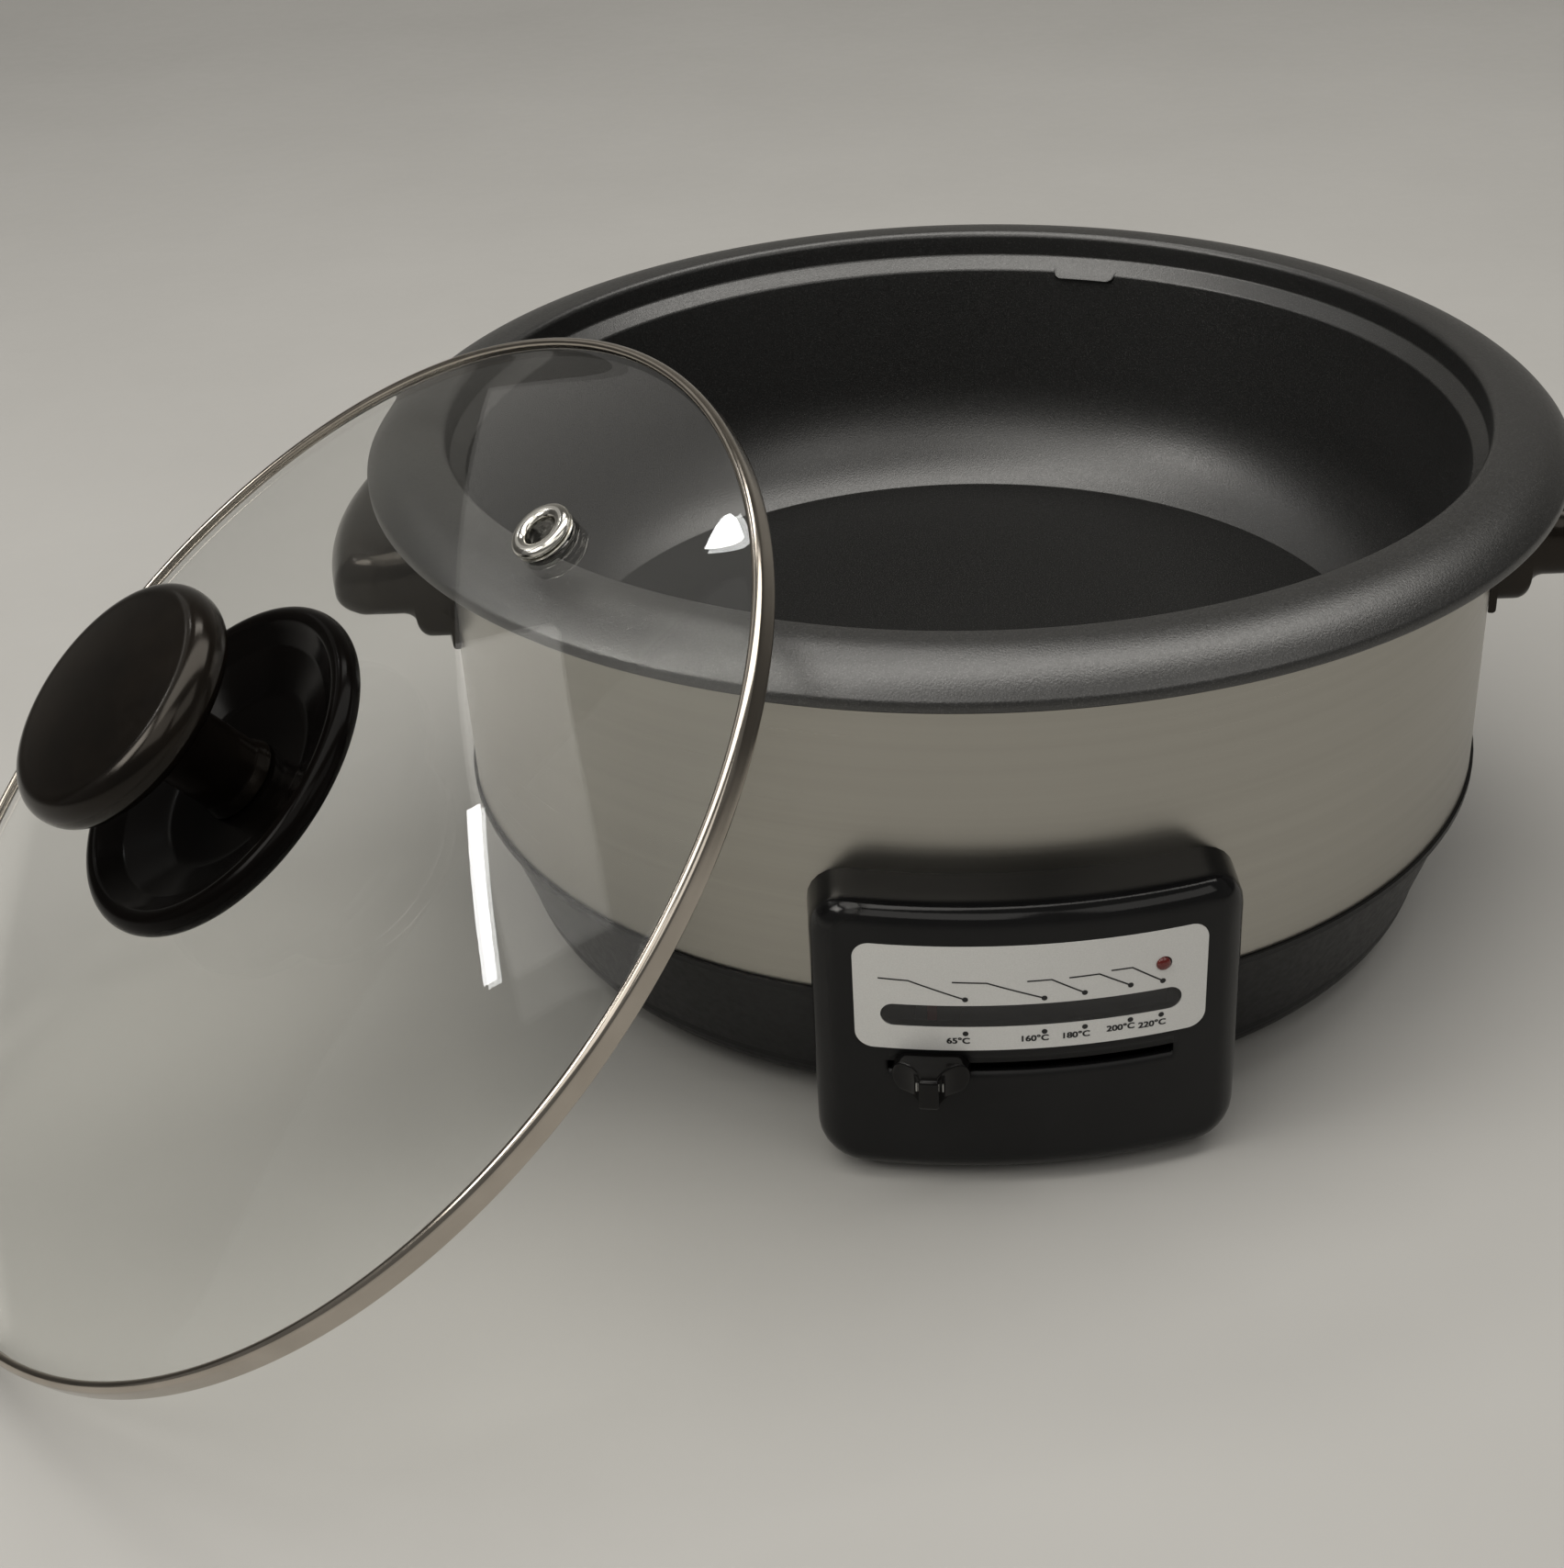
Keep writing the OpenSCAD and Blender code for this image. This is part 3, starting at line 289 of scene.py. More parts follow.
class Finish:
    """A procedural material: a principled shader, with short helpers for the nodes that feed it."""

    def __init__(self, name, **values):
        self.made = bpy.data.materials.new(name)
        self.made.use_nodes = True
        self.tree = self.made.node_tree
        self.shader = self.tree.nodes["Principled BSDF"]
        self.output = self.tree.nodes["Material Output"]
        for key, value in values.items():
            socket = self.shader.inputs[key.replace("_", " ").title().replace("Ior", "IOR")]
            socket.default_value = (*value, 1) if isinstance(value, tuple) else value

    def node(self, kind, **settings):
        """A new node with its settings."""
        made = self.tree.nodes.new(kind)
        for key, value in settings.items():
            setattr(made, key, value)
        return made

    def join(self, source, target):
        self.tree.links.new(source, target)

    def place(self, stretch=(1, 1, 1)):
        """Object coordinates, stretched."""
        where = self.node("ShaderNodeTexCoord")
        mapping = self.node("ShaderNodeMapping")
        mapping.inputs["Scale"].default_value = stretch
        self.join(where.outputs["Object"], mapping.inputs["Vector"])
        return mapping.outputs["Vector"]

    def noise(self, scale, detail=3, rough=0.55, stretch=(1, 1, 1)):
        """Soft noise over the object."""
        made = self.node("ShaderNodeTexNoise")
        made.inputs["Scale"].default_value = scale
        made.inputs["Detail"].default_value = detail
        made.inputs["Roughness"].default_value = rough
        self.join(self.place(stretch), made.inputs["Vector"])
        return made.outputs["Fac"]

    def ramp(self, source, *stops):
        """Maps a value through colour stops (position, colour or grey)."""
        made = self.node("ShaderNodeValToRGB")
        line = made.color_ramp
        for k, (at, colour) in enumerate(stops):
            stop = line.elements[k] if k < 2 else line.elements.new(at)
            stop.position = at
            stop.color = (*colour, 1) if isinstance(colour, tuple) else (colour, colour, colour, 1)
        self.join(source, made.inputs["Fac"])
        return made.outputs["Color"]

    def colour(self, source, *stops):
        """Feeds the base colour from a value through stops."""
        self.join(self.ramp(source, *stops), self.shader.inputs["Base Color"])

    def rough(self, source, *stops):
        """Feeds the roughness from a value through stops."""
        self.join(self.ramp(source, *stops), self.shader.inputs["Roughness"])

    def bump(self, source, strength, distance):
        """Feeds the normal from a height."""
        made = self.node("ShaderNodeBump")
        made.inputs["Strength"].default_value = strength
        made.inputs["Distance"].default_value = distance
        self.join(source, made.inputs["Height"])
        self.join(made.outputs["Normal"], self.shader.inputs["Normal"])

    def clear_to_lamps(self):
        """Lets shadow and diffuse rays straight through, so that lamps shine through the glass once."""
        path = self.node("ShaderNodeLightPath")
        either = self.node("ShaderNodeMath", operation="MAXIMUM")
        open_way = self.node("ShaderNodeBsdfTransparent")
        open_way.inputs["Color"].default_value = (0.94, 0.94, 0.93, 1)
        mix = self.node("ShaderNodeMixShader")
        self.join(path.outputs["Is Shadow Ray"], either.inputs[0])
        self.join(path.outputs["Is Diffuse Ray"], either.inputs[1])
        self.join(either.outputs["Value"], mix.inputs["Fac"])
        self.join(self.shader.outputs["BSDF"], mix.inputs[1])
        self.join(open_way.outputs["BSDF"], mix.inputs[2])
        self.join(mix.outputs["Shader"], self.output.inputs["Surface"])


def nonstick(name, shine, low, high):
    """Dark satin coating with a fine pale metallic fleck and a slight orange-peel."""
    f = Finish(name, metallic=0.3, ior=1.65, specular_ior_level=shine)
    fleck = f.noise(2600, detail=2, rough=0.6)
    f.colour(fleck, (0.36, (0.006, 0.006, 0.0058)), (0.56, (0.012, 0.012, 0.0116)), (0.72, (0.060, 0.060, 0.0585)))
    f.rough(f.noise(900, detail=2), (0.3, low), (0.7, high))
    f.bump(f.noise(1700, detail=2), 0.20, 0.0004)
    return f.made


def brushed_steel():
    """Warm grey steel, brushed round the body: fine level streaks in the gloss and the height."""
    f = Finish("brushed_steel", metallic=1.0, anisotropic=0.35)
    streak = f.noise(1, detail=6, rough=0.7, stretch=(9, 9, 2600))
    broad = f.noise(1, detail=3, stretch=(3, 3, 420))
    f.colour(broad, (0.3, (0.385, 0.370, 0.333)), (0.7, (0.405, 0.390, 0.352)))
    f.rough(streak, (0.25, 0.26), (0.75, 0.36))
    f.bump(streak, 0.10, 0.00006)
    return f.made


def bright_steel(name, dark, light, low, high):
    """Polished sheet with a faint uneven gloss."""
    f = Finish(name, metallic=1.0)
    f.colour(f.noise(60), (0.3, dark), (0.7, light))
    f.rough(f.noise(140, detail=2), (0.3, low), (0.7, high))
    return f.made


def plain_metal(name, tone, low, high):
    """Machined or pressed metal with a mild mottle."""
    f = Finish(name, metallic=1.0)
    f.colour(f.noise(220, detail=4), (0.3, tuple(0.86 * c for c in tone)), (0.7, tone))
    f.rough(f.noise(700, detail=3), (0.3, low), (0.7, high))
    f.bump(f.noise(900), 0.08, 0.0001)
    return f.made


def moulding(name, dark, light, low, high, grain, shine=0.4, sheen=(1.0, 1.0, 1.0)):
    """Moulded plastic: a faint tone change, a moulded grain and a gloss that may be tinted."""
    # a warm sheen tint paints a reflection of a brown room into the gloss
    f = Finish(name, specular_ior_level=shine, specular_tint=sheen)
    f.colour(f.noise(35, detail=4), (0.3, dark), (0.7, light))
    f.rough(f.noise(420, detail=3), (0.3, low), (0.7, high))
    f.bump(f.noise(2200, detail=2), grain, 0.0002)
    return f.made


def housing_finish():
    """Black moulding, satin on the front face and glossy on the rounded edges: the gloss follows the distance
    from the body's axis."""
    f = Finish("housing_black", specular_ior_level=0.24)
    f.colour(f.noise(35, detail=4), (0.3, DEEP), (0.7, BLACK))
    reach = f.node("ShaderNodeVectorMath", operation="LENGTH")
    f.join(f.place((1, 1, 0)), reach.inputs[0])
    blend = f.node("ShaderNodeMapRange")
    blend.inputs["From Min"].default_value = (FACE_R - GLOSS_END) * MM
    blend.inputs["From Max"].default_value = (FACE_R - GLOSS_START) * MM
    f.join(reach.outputs["Value"], blend.inputs["Value"])
    f.rough(blend.outputs["Result"], (0.0, 0.10), (1.0, 0.40))
    f.bump(f.noise(2600, detail=2), 0.05, 0.0002)
    return f.made


def lid_glass_finish():
    """Clear tempered glass, very slightly warm, with faint dull patches."""
    f = Finish("clear_glass", transmission_weight=1.0, ior=1.47)
    f.colour(f.noise(8), (0.3, (0.978, 0.984, 0.970)), (0.7, (0.986, 0.990, 0.977)))
    f.rough(f.noise(40, detail=4), (0.55, 0.0), (0.85, 0.02))
    f.clear_to_lamps()
    return f.made


def tinted_lens(name, dark, light, alpha, gloss):
    """A coloured clear strip or lens: tinted, glossy and partly see-through."""
    f = Finish(name, alpha=alpha, specular_ior_level=0.5, coat_weight=0.4, coat_roughness=0.05)
    f.colour(f.noise(300, detail=3), (0.3, dark), (0.7, light))
    f.rough(f.noise(600), (0.3, gloss), (0.7, gloss + 0.08))
    return f.made


def printed_plate():
    """Silver-white plate: a satin pearl with a very fine fleck."""
    f = Finish("printed_plate", metallic=0.15, specular_ior_level=0.4)
    f.colour(f.noise(3000, detail=2), (0.3, (0.66, 0.66, 0.645)), (0.7, (0.72, 0.72, 0.705)))
    f.rough(f.noise(1200), (0.3, 0.34), (0.7, 0.46))
    return f.made


# Finishes by name: colours, then lowest and highest roughness, then grain or gloss
BLACK, DEEP, JET = (0.0080, 0.0080, 0.0083), (0.0045, 0.0045, 0.0048), (0.0020, 0.0016, 0.0014)
# a warm tint for the gloss of the knob's grip and the handles: a painted reflection of a brown room
WARM_ROOM_REFLECTION = (1.0, 0.92, 0.82)
FINISH = {
    "nonstick": nonstick("nonstick", 0.95, 0.33, 0.41),
    "nonstick_floor": nonstick("nonstick_floor", 0.15, 0.48, 0.56),
    "brushed_band": brushed_steel(),
    # the lid ring's brownish steel tone is a painted reflection of a brown room
    "bright_steel": bright_steel("bright_steel", (0.42, 0.38, 0.33), (0.50, 0.455, 0.40), 0.12, 0.17),
    "eyelet_steel": bright_steel("eyelet_steel", (0.66, 0.645, 0.60), (0.74, 0.725, 0.68), 0.13, 0.18),
    "plain_steel": plain_metal("plain_steel", (0.60, 0.60, 0.58), 0.28, 0.42),
    "sheet_aluminium": plain_metal("sheet_aluminium", (0.72, 0.72, 0.71), 0.34, 0.50),
    "satin_black": moulding("satin_black", DEEP, BLACK, 0.36, 0.48, 0.10, shine=0.3),
    "gloss_black": moulding("gloss_black", JET, (0.0032, 0.0026, 0.0023), 0.14, 0.18, 0.01, shine=0.045),
    # the brown in the grip's lighter tone and its warm gloss are a painted reflection of a brown room
    "grip_black": moulding("grip_black", JET, (0.0068, 0.0050, 0.0036), 0.15, 0.20, 0.01,
                           shine=0.27, sheen=WARM_ROOM_REFLECTION),
    # the brown in the handles' lighter tone and their warm gloss are a painted reflection of a brown room
    "handle_black": moulding("handle_black", JET, (0.0090, 0.0062, 0.0042), 0.16, 0.24, 0.03,
                             shine=0.32, sheen=WARM_ROOM_REFLECTION),
    "slider_black": moulding("slider_black", JET, DEEP, 0.12, 0.18, 0.02, shine=0.25),
    "housing_black": housing_finish(),
    "pale_moulding": moulding("pale_moulding", (0.62, 0.58, 0.50), (0.70, 0.66, 0.58), 0.45, 0.6, 0.12),
    "label": printed_plate(),
    "smoked_lens": tinted_lens("smoked_lens", (0.026, 0.026, 0.027), (0.036, 0.036, 0.037), 0.52, 0.10),
    "red_lens": tinted_lens("red_lens", (0.105, 0.008, 0.006), (0.160, 0.012, 0.009), 0.94, 0.14),
    "red_pointer": moulding("red_pointer", (0.42, 0.03, 0.025), (0.55, 0.045, 0.035), 0.4, 0.5, 0.05),
    "lamp_glass": tinted_lens("lamp_glass", (0.70, 0.62, 0.55), (0.80, 0.72, 0.64), 0.55, 0.06),
    "lid_glass": lid_glass_finish(),
    "wire": moulding("wire", (0.24, 0.10, 0.05), (0.32, 0.15, 0.08), 0.45, 0.6, 0.1),
    "rubber": moulding("rubber", (0.016, 0.016, 0.016), (0.026, 0.026, 0.025), 0.7, 0.85, 0.25),
    "print": moulding("print", (0.010, 0.010, 0.011), (0.016, 0.016, 0.017), 0.5, 0.6, 0.02),
}


def pot():
    """The pot's profile, from the middle of the floor up the inside, over the crown and back underneath, turned
    about the axis. The floor's duller coat is a thin disc, and three bosses stand under the floor."""
    crown_x, crown_z = OPENING_R + CROWN_IN, CREST_Z - CROWN_R
    wall_r = LEDGE_R - WALL_LEAN
    floor_edge = wall_r - FLOOR_IN
    crease = math.acos((FLOOR_R - FLOOR_IN) / FLOOR_R)
    corner_z = FLOOR_Z + FLOOR_IN / math.sin(crease) * math.cos(crease)
    under = CROWN_R - RIM_T
    out_a = math.degrees(math.acos((RIM_R - crown_x) / CROWN_R))
    in_a = math.degrees(math.acos((RIM_R - RIM_T - crown_x) / under))
    wall_a = math.degrees(math.acos((SEAT_R + POT_WALL - crown_x) / under))
    lip_z = crown_z + CROWN_R * math.sin(math.radians(out_a)) - LIP_H
    inside = rounded([(0, FLOOR_Z, 0), (floor_edge, FLOOR_Z, FOOT_ROUND),
                      (wall_r + SWEEP_OUT, FLOOR_Z + SWEEP_Z, SWEEP_R), (LEDGE_R, LEDGE_Z, LEDGE_ROUND),
                      (SEAT_R, SEAT_Z, SEAT_ROUND), (SEAT_R, CREST_Z, CREST_ROUND), (crown_x - 1, CREST_Z, 0)])
    crown = arc(crown_x, crown_z, CROWN_R, 90, out_a, 24)
    lip = rounded([(*crown[-1], 0), (RIM_R, lip_z, LIP_ROUND), (RIM_R - RIM_T, lip_z, LIP_ROUND_IN),
                   (RIM_R - RIM_T, lip_z + LIP_H, 0)])[1:-1]
    back = arc(crown_x, crown_z, under, in_a, wall_a, 16)
    outside = rounded([(*back[-1], 0), (SEAT_R + POT_WALL, SEAT_Z - 1, OUTER_ROUND),
                       (LEDGE_R + POT_WALL, LEDGE_Z - 1, OUTER_ROUND),
                       (wall_r + POT_WALL, corner_z - POT_WALL, FLOOR_R),
                       (floor_edge, FLOOR_Z - POT_WALL, UNDER_ROUND), (0, FLOOR_Z - POT_WALL, 0)])[1:]
    profile = finer(np.concatenate([inside, crown, lip, back, outside]), 4)
    dress(surface("pot", turned(profile, POT_COLUMNS)), "pot", "nonstick", FINISH["nonstick"], "inner_pot")
    coat = np.array([(0, FLOOR_Z - COAT_DEEP), (floor_edge - COAT_IN, FLOOR_Z - COAT_DEEP),
                     (floor_edge - COAT_IN, FLOOR_Z + COAT_RISE), (0, FLOOR_Z + COAT_RISE)])
    disc = surface("pot_floor", turned(finer(coat, 8), POT_COLUMNS))
    dress(disc, "pot", "nonstick", FINISH["nonstick_floor"])
    for k, turn in enumerate(BOSS_TURNS):
        boss = turned(rounded([(0, POT_LOW[2], 0), (BOSS_D / 2, POT_LOW[2], BOSS_ROUND),
                               (BOSS_D / 2, FLOOR_Z - POT_WALL, 0)]), 32)
        a = math.radians(turn)
        boss += np.array([BOSS_R * math.cos(a), BOSS_R * math.sin(a), 0])
        dress(surface(f"pot_boss_{k}", boss), "pot", "nonstick", FINISH["nonstick"])


def ledge_tab():
    """A small tab on the ledge at the back: the ledge's slope carried a little further in, with round corners."""
    slope = LEDGE_DROP / LEDGE_W
    share = np.linspace(-1, 1, 41)
    past = np.clip((np.abs(share) - TAB_STRAIGHT) / (1 - TAB_STRAIGHT), 0, 1)
    reach = (TAB_REACH + TAB_TUCK) * np.sqrt(1 - past ** 2) - TAB_TUCK
    tip_r, tip_z = LEDGE_R - reach, LEDGE_Z - slope * reach + SLIVER
    root = np.full_like(reach, LEDGE_R + TAB_ROOT)
    high = np.full_like(reach, LEDGE_Z + slope * TAB_ROOT + SLIVER)
    low = np.full_like(reach, LEDGE_Z - TAB_ROOT - TAB_REACH)
    corners = [(root, high), *((tip_r + out, tip_z + up) for out, up in TAB_TIP), (root, low)]
    rows = np.stack([np.stack(corner, -1) for corner in corners], 1)
    turn = (TAB_TURN + TAB_SPAN * share)[:, None]
    grid = np.stack([rows[..., 0] * np.cos(turn), rows[..., 0] * np.sin(turn), rows[..., 1]], -1)
    dress(surface("ledge_tab", grid, caps=True), "pot", "nonstick", FINISH["nonstick"])


def steel_band():
    """A thin sheet ring with rounded edges."""
    inner = BAND_R - BAND_T
    corners = ((inner, BAND_Z), (BAND_R, BAND_Z), (BAND_R, BAND_TOP), (inner, BAND_TOP))
    profile = rounded([(*corner, BAND_ROUND) for corner in corners], closed=True)
    profile = finer(profile, 6, closed=True)
    dress(surface("band", turned(profile, POT_COLUMNS), wrap=(True, True)), "pot", "brushed_band",
          FINISH["brushed_band"], "steel_band")


def ear_edge(y, inset):
    """Distance of a handle's outer edge from the axis: an arc of the ear's radius that runs into round corners."""
    far, half = BAND_R + HANDLE_REACH - inset, HANDLE_L / 2 - inset
    side, reach = half - EAR_CORNER, EAR_R - EAR_CORNER
    past = min(max(abs(y) - side, 0), EAR_CORNER)
    ear = far - EAR_R + math.sqrt(EAR_R ** 2 - y ** 2)
    corner = far - EAR_R + math.sqrt(reach ** 2 - side ** 2) + math.sqrt(EAR_CORNER ** 2 - past ** 2)
    return corner if abs(y) > side * EAR_R / reach else ear


def ear_section(y, draw):
    """Section of a handle across its length: sloped top, round nose, hollow underside and a step down to the
    block on the body, all drawn in near the ends. Past the hollow's ends the hollow shrinks to a hairline, so that
    every section has the same number of points."""
    back = math.sqrt((BAND_R + SLIVER) ** 2 - y ** 2)
    out = ear_edge(y, 0) - draw
    step = BAND_R + STEP_OUT
    high, low = HANDLE_Z - NOSE_DROP - draw, HANDLE_Z - GRIP_DROP - GRIP_T + draw
    block = low - BLOCK_DROP
    if abs(y) < HANDLE_L / 2 - HOLLOW_WALL:
        roof, turn = HANDLE_Z - HOLLOW_ROOF, HOLLOW_ROUND
        wall, start = ear_edge(y, HOLLOW_WALL), BAND_R + HOLLOW_OUT
    else:
        roof, turn = low + 0.05, 0.01
        wall, start = out - 0.3 * (out - step), out - 0.5 * (out - step)
    nose = max(0.05, out - wall - turn - 0.1)
    return rounded([
        (back, HANDLE_Z - draw, BLOCK_ROUND), (out, high, min(NOSE_R, NOSE_SHARE * (high - low))), (out, low, nose),
        (wall, low, turn), (wall, roof, turn), (start, roof, turn), (start, low, turn),
        (step, low, min(STEP_R, STEP_SHARE * (start - step))), (step, block, STEP_R - FOOT_EASE),
        (back, block, BLOCK_ROUND)], closed=True)


def handles():
    """Each ear is its section carried from end to end; a quarter circle draws the section in at both ends. A thin
    plate behind it follows the body."""
    bend = np.radians(np.linspace(0, 90, 10))
    half, edge = HANDLE_L / 2, HANDLE_EDGE
    hollow_end = half - HOLLOW_WALL
    ends = half - edge + edge * np.cos(bend)
    inner = np.concatenate([[hollow_end, hollow_end - 0.01], np.linspace(half - edge - 0.4, 0, 40)])
    positive = np.unique(np.concatenate([ends, inner]))
    ys = np.concatenate([-positive[:0:-1], positive])
    past = np.clip((np.abs(ys) - half + edge) / edge, 0, 1)
    draw = edge * (1 - np.sqrt(1 - past ** 2))
    sections = np.array([ear_section(y, d) for y, d in zip(ys, draw)])
    ear = np.concatenate([sections[..., :1], 0 * sections[..., :1] + ys[:, None, None], sections[..., 1:]], -1)
    sweep = np.arcsin((half - PLATE_IN) / BAND_R) * np.linspace(-1, 1, 24)
    inner_r, outer_r = BAND_R + SLIVER, BAND_R + PLATE_T
    strip = rounded([(inner_r, PLATE_LOW, 0.4), (outer_r, PLATE_LOW, 1.2), (outer_r, HANDLE_Z, 0.8),
                     (inner_r, HANDLE_Z, 0.4)], closed=True, steps=5)
    plate = np.stack([strip[:, 0] * np.cos(sweep)[:, None], strip[:, 0] * np.sin(sweep)[:, None],
                      strip[:, 1] + 0 * sweep[:, None]], -1)
    c, n = math.cos(HANDLE_TURN), math.sin(HANDLE_TURN)
    for name, side in (("right", 1), ("left", -1)):
        place = np.array([[side * c, side * n, 0], [-n, c, 0], [0, 0, 1]])
        dress(surface("ear_" + name, ear @ place, caps=True, sharp=50), "pot", "satin_black",
              FINISH["handle_black"], "handle_" + name)
        dress(surface("ear_plate_" + name, plate @ place, caps=True), "pot", "satin_black", FINISH["handle_black"])


def lid_ring():
    """Rolled steel channel: a round bead on top, a plain outer wall and a short leg under the glass."""
    half, lip, inner = RING_H / 2, GLASS_T / 2 + SLIVER, RING_R - RING_IN
    profile = rounded([(inner, -lip, 0.2), (inner, -half, 0.4), (RING_R, -half, 0.9), (RING_R, half, 1.7),
                       (inner, half, 1.0), (inner, lip, 0.2), (GLASS_R + SLIVER, lip, 0),
                       (GLASS_R + SLIVER, -lip, 0)], closed=True)
    ring = turned(finer(profile, 1.6, closed=True), RING_COLUMNS)
    piece = surface("lid_ring", on_lid(ring), wrap=(True, True))
    dress(piece, "lid", "bright_steel", FINISH["bright_steel"], "lid_rim_band")


def lid_glass():
    """The glass as rays from the vent's hole out to the edge: the place in plan slides from one circle to the
    other, and the height follows the dome, on top and below."""
    t = np.linspace(0, 2 * math.pi, GLASS_COLUMNS, endpoint=False)
    vent = VENT_AT * np.array([math.cos(VENT_TURN), math.sin(VENT_TURN)])
    way = np.stack([np.cos(t), np.sin(t)], -1)
    hole = vent + VENT_HOLE_R * way
    along = way @ vent
    reach = -along + np.sqrt(along ** 2 + GLASS_R ** 2 - vent @ vent)
    rim = vent + reach[:, None] * way
    s = np.concatenate([[0], np.linspace(0.004, 0.93, 70), np.linspace(0.94, 1, 26)])
    plan = hole + (rim - hole) * s[:, None, None]
    r = np.minimum(np.linalg.norm(plan, axis=-1), GLASS_R)
    top = dome_height(r, DOME_LOW + GLASS_T, GLASS_T / 2)
    low = dome_height(r, DOME_LOW, -GLASS_T / 2)
    upper = np.concatenate([plan, top[..., None]], -1)
    lower = np.concatenate([plan, low[..., None]], -1)[::-1]
    piece = surface("glass", on_lid(np.concatenate([upper, lower])), wrap=(True, True))
    dress(piece, "lid", "lid_glass", FINISH["lid_glass"], "lid_glass")


def on_vent(profile):
    """Turns a profile about the vent's own axis, set square on the dome, and carries it to the lid's pose."""
    lean = math.asin(VENT_AT / (DOME_LOW + GLASS_T))
    out = np.array([math.cos(VENT_TURN), math.sin(VENT_TURN), 0])
    axis = math.sin(lean) * out + math.cos(lean) * np.array([0, 0, 1])
    across = np.array([-out[1], out[0], 0])
    local = np.array([np.cross(across, axis), across, axis])
    placed = turned(profile, VENT_COLUMNS) @ local + axis * (DOME_LOW + GLASS_T) + np.array([0, 0, DOME_AXIS])
    return on_lid(placed)


def vent_grommet():
    """Rolled steel eyelet with a washer under its bead, and a dark sleeve round its neck through the glass."""
    bore, neck, flange = VENT_BORE_R, VENT_NECK_R, VENT_FLANGE / 2
    under = -GLASS_T - SLIVER
    rise = SLIVER + VENT_WASHER
    bead = arc(0, 0, 1, -65, 180, 24) * [(flange - bore) / 2, VENT_BEAD] + [(flange + bore) / 2, rise + VENT_BEAD]
    eyelet = np.concatenate([
        rounded([(bore, under - VENT_SHEET, 0.5), (neck + 1.2, under - VENT_SHEET, 0.5), (neck + 1.2, under, 0.3),
                 (neck, under, 0), (neck, rise + 0.4, 0)])[9:],
        bead, [[bore, rise - 1]]])
    dress(surface("vent_eyelet", on_vent(eyelet), wrap=(True, True)), "lid", "bright_steel",
          FINISH["eyelet_steel"], "vent_grommet")
    washer = rounded([(neck + 0.1, SLIVER, 0.1), (flange - 0.2, SLIVER, 0.3), (flange - 0.2, rise, 0.3),
                      (neck + 0.1, rise, 0.1)], closed=True, steps=4)
    dress(surface("vent_washer", on_vent(washer), wrap=(True, True)), "lid", "bright_steel", FINISH["eyelet_steel"])
    sleeve = rounded([(neck + 0.05, under, 0.1), (flange - 1, under, 0.4), (flange - 1, under + 0.1, 0.05),
                      (VENT_HOLE_R - SLIVER, under + 0.15, 0.1), (VENT_HOLE_R - SLIVER, SLIVER, 0.05),
                      (neck + 0.05, SLIVER, 0.05)], closed=True, steps=4)
    dress(surface("vent_sleeve", on_vent(sleeve), wrap=(True, True)), "lid", "rubber", FINISH["rubber"])


def knob():
    """Dished base with a round rim, and a mushroom grip on a short stem, each turned about the lid's axis."""
    seat = DOME_TOP + SLIVER
    lip_r, lip_z = BASE_R - BASE_LIP, seat + BASE_H - BASE_LIP
    lip_start = arc(lip_r, lip_z, BASE_LIP, -70, -69, 1)[0]
    base = np.concatenate([
        rounded([(0, seat, 0), (BASE_FOOT_R, seat, 1.5), (BASE_DISH_R, seat + BASE_FLOOR / 2, 8), (*lip_start, 0)]),
        arc(lip_r, lip_z, BASE_LIP, -66, 118, 24),
        rounded([(lip_r - 2.0, lip_z + 2.9, 0), (BASE_R - 3 * BASE_LIP, lip_z - 0.6, 6),
                 (BASE_DISH_R, seat + BASE_FLOOR + 1, 9), (STEM_R + 2, seat + BASE_FLOOR, 2),
                 (0, seat + BASE_FLOOR, 0)])])
    dress(surface("knob_dish", on_lid(turned(finer(base, 2), KNOB_COLUMNS))), "lid", "gloss_black",
          FINISH["gloss_black"], "knob_base")
    foot, low = DOME_TOP + 2 * SLIVER + BASE_FLOOR, KNOB_H - KNOB_T
    edge_r = GRIP_R - GRIP_EDGE
    crown = np.stack([np.linspace(edge_r, 0, 12), KNOB_H - GRIP_CROWN * np.linspace(1, 0, 12) ** 2], -1)
    grip = np.concatenate([
        rounded([(0, foot, 0), (STEM_R + 1.5, foot, 0.6), (STEM_R, foot + 4, 3),
                 (STEM_R, low - 0.4, GRIP_EDGE), (edge_r, low, 0)]),
        arc(edge_r, low + GRIP_EDGE, GRIP_EDGE, -80, 0, 12),
        arc(edge_r, KNOB_H - GRIP_CROWN - GRIP_EDGE, GRIP_EDGE, 0, 84, 14),
        crown])
    dress(surface("knob_cap", on_lid(turned(finer(grip, 2), KNOB_COLUMNS))), "lid", "gloss_black",
          FINISH["grip_black"], "knob_grip")


def on_face(across, out, z, turn):
    """Places points at a distance out from the body's axis, across and up, in front and turned round the body."""
    c, n = math.cos(turn), math.sin(turn)
    return np.stack([n * out + c * across, -c * out + n * across, z + 0 * across], -1)


def wrapped(across, z, out):
    """Lays flat points on the control face: the way across becomes an angle round the axis."""
    angle = across / LABEL_R
    return np.stack([out * np.sin(angle), -out * np.cos(angle), z + 0 * angle], -1)


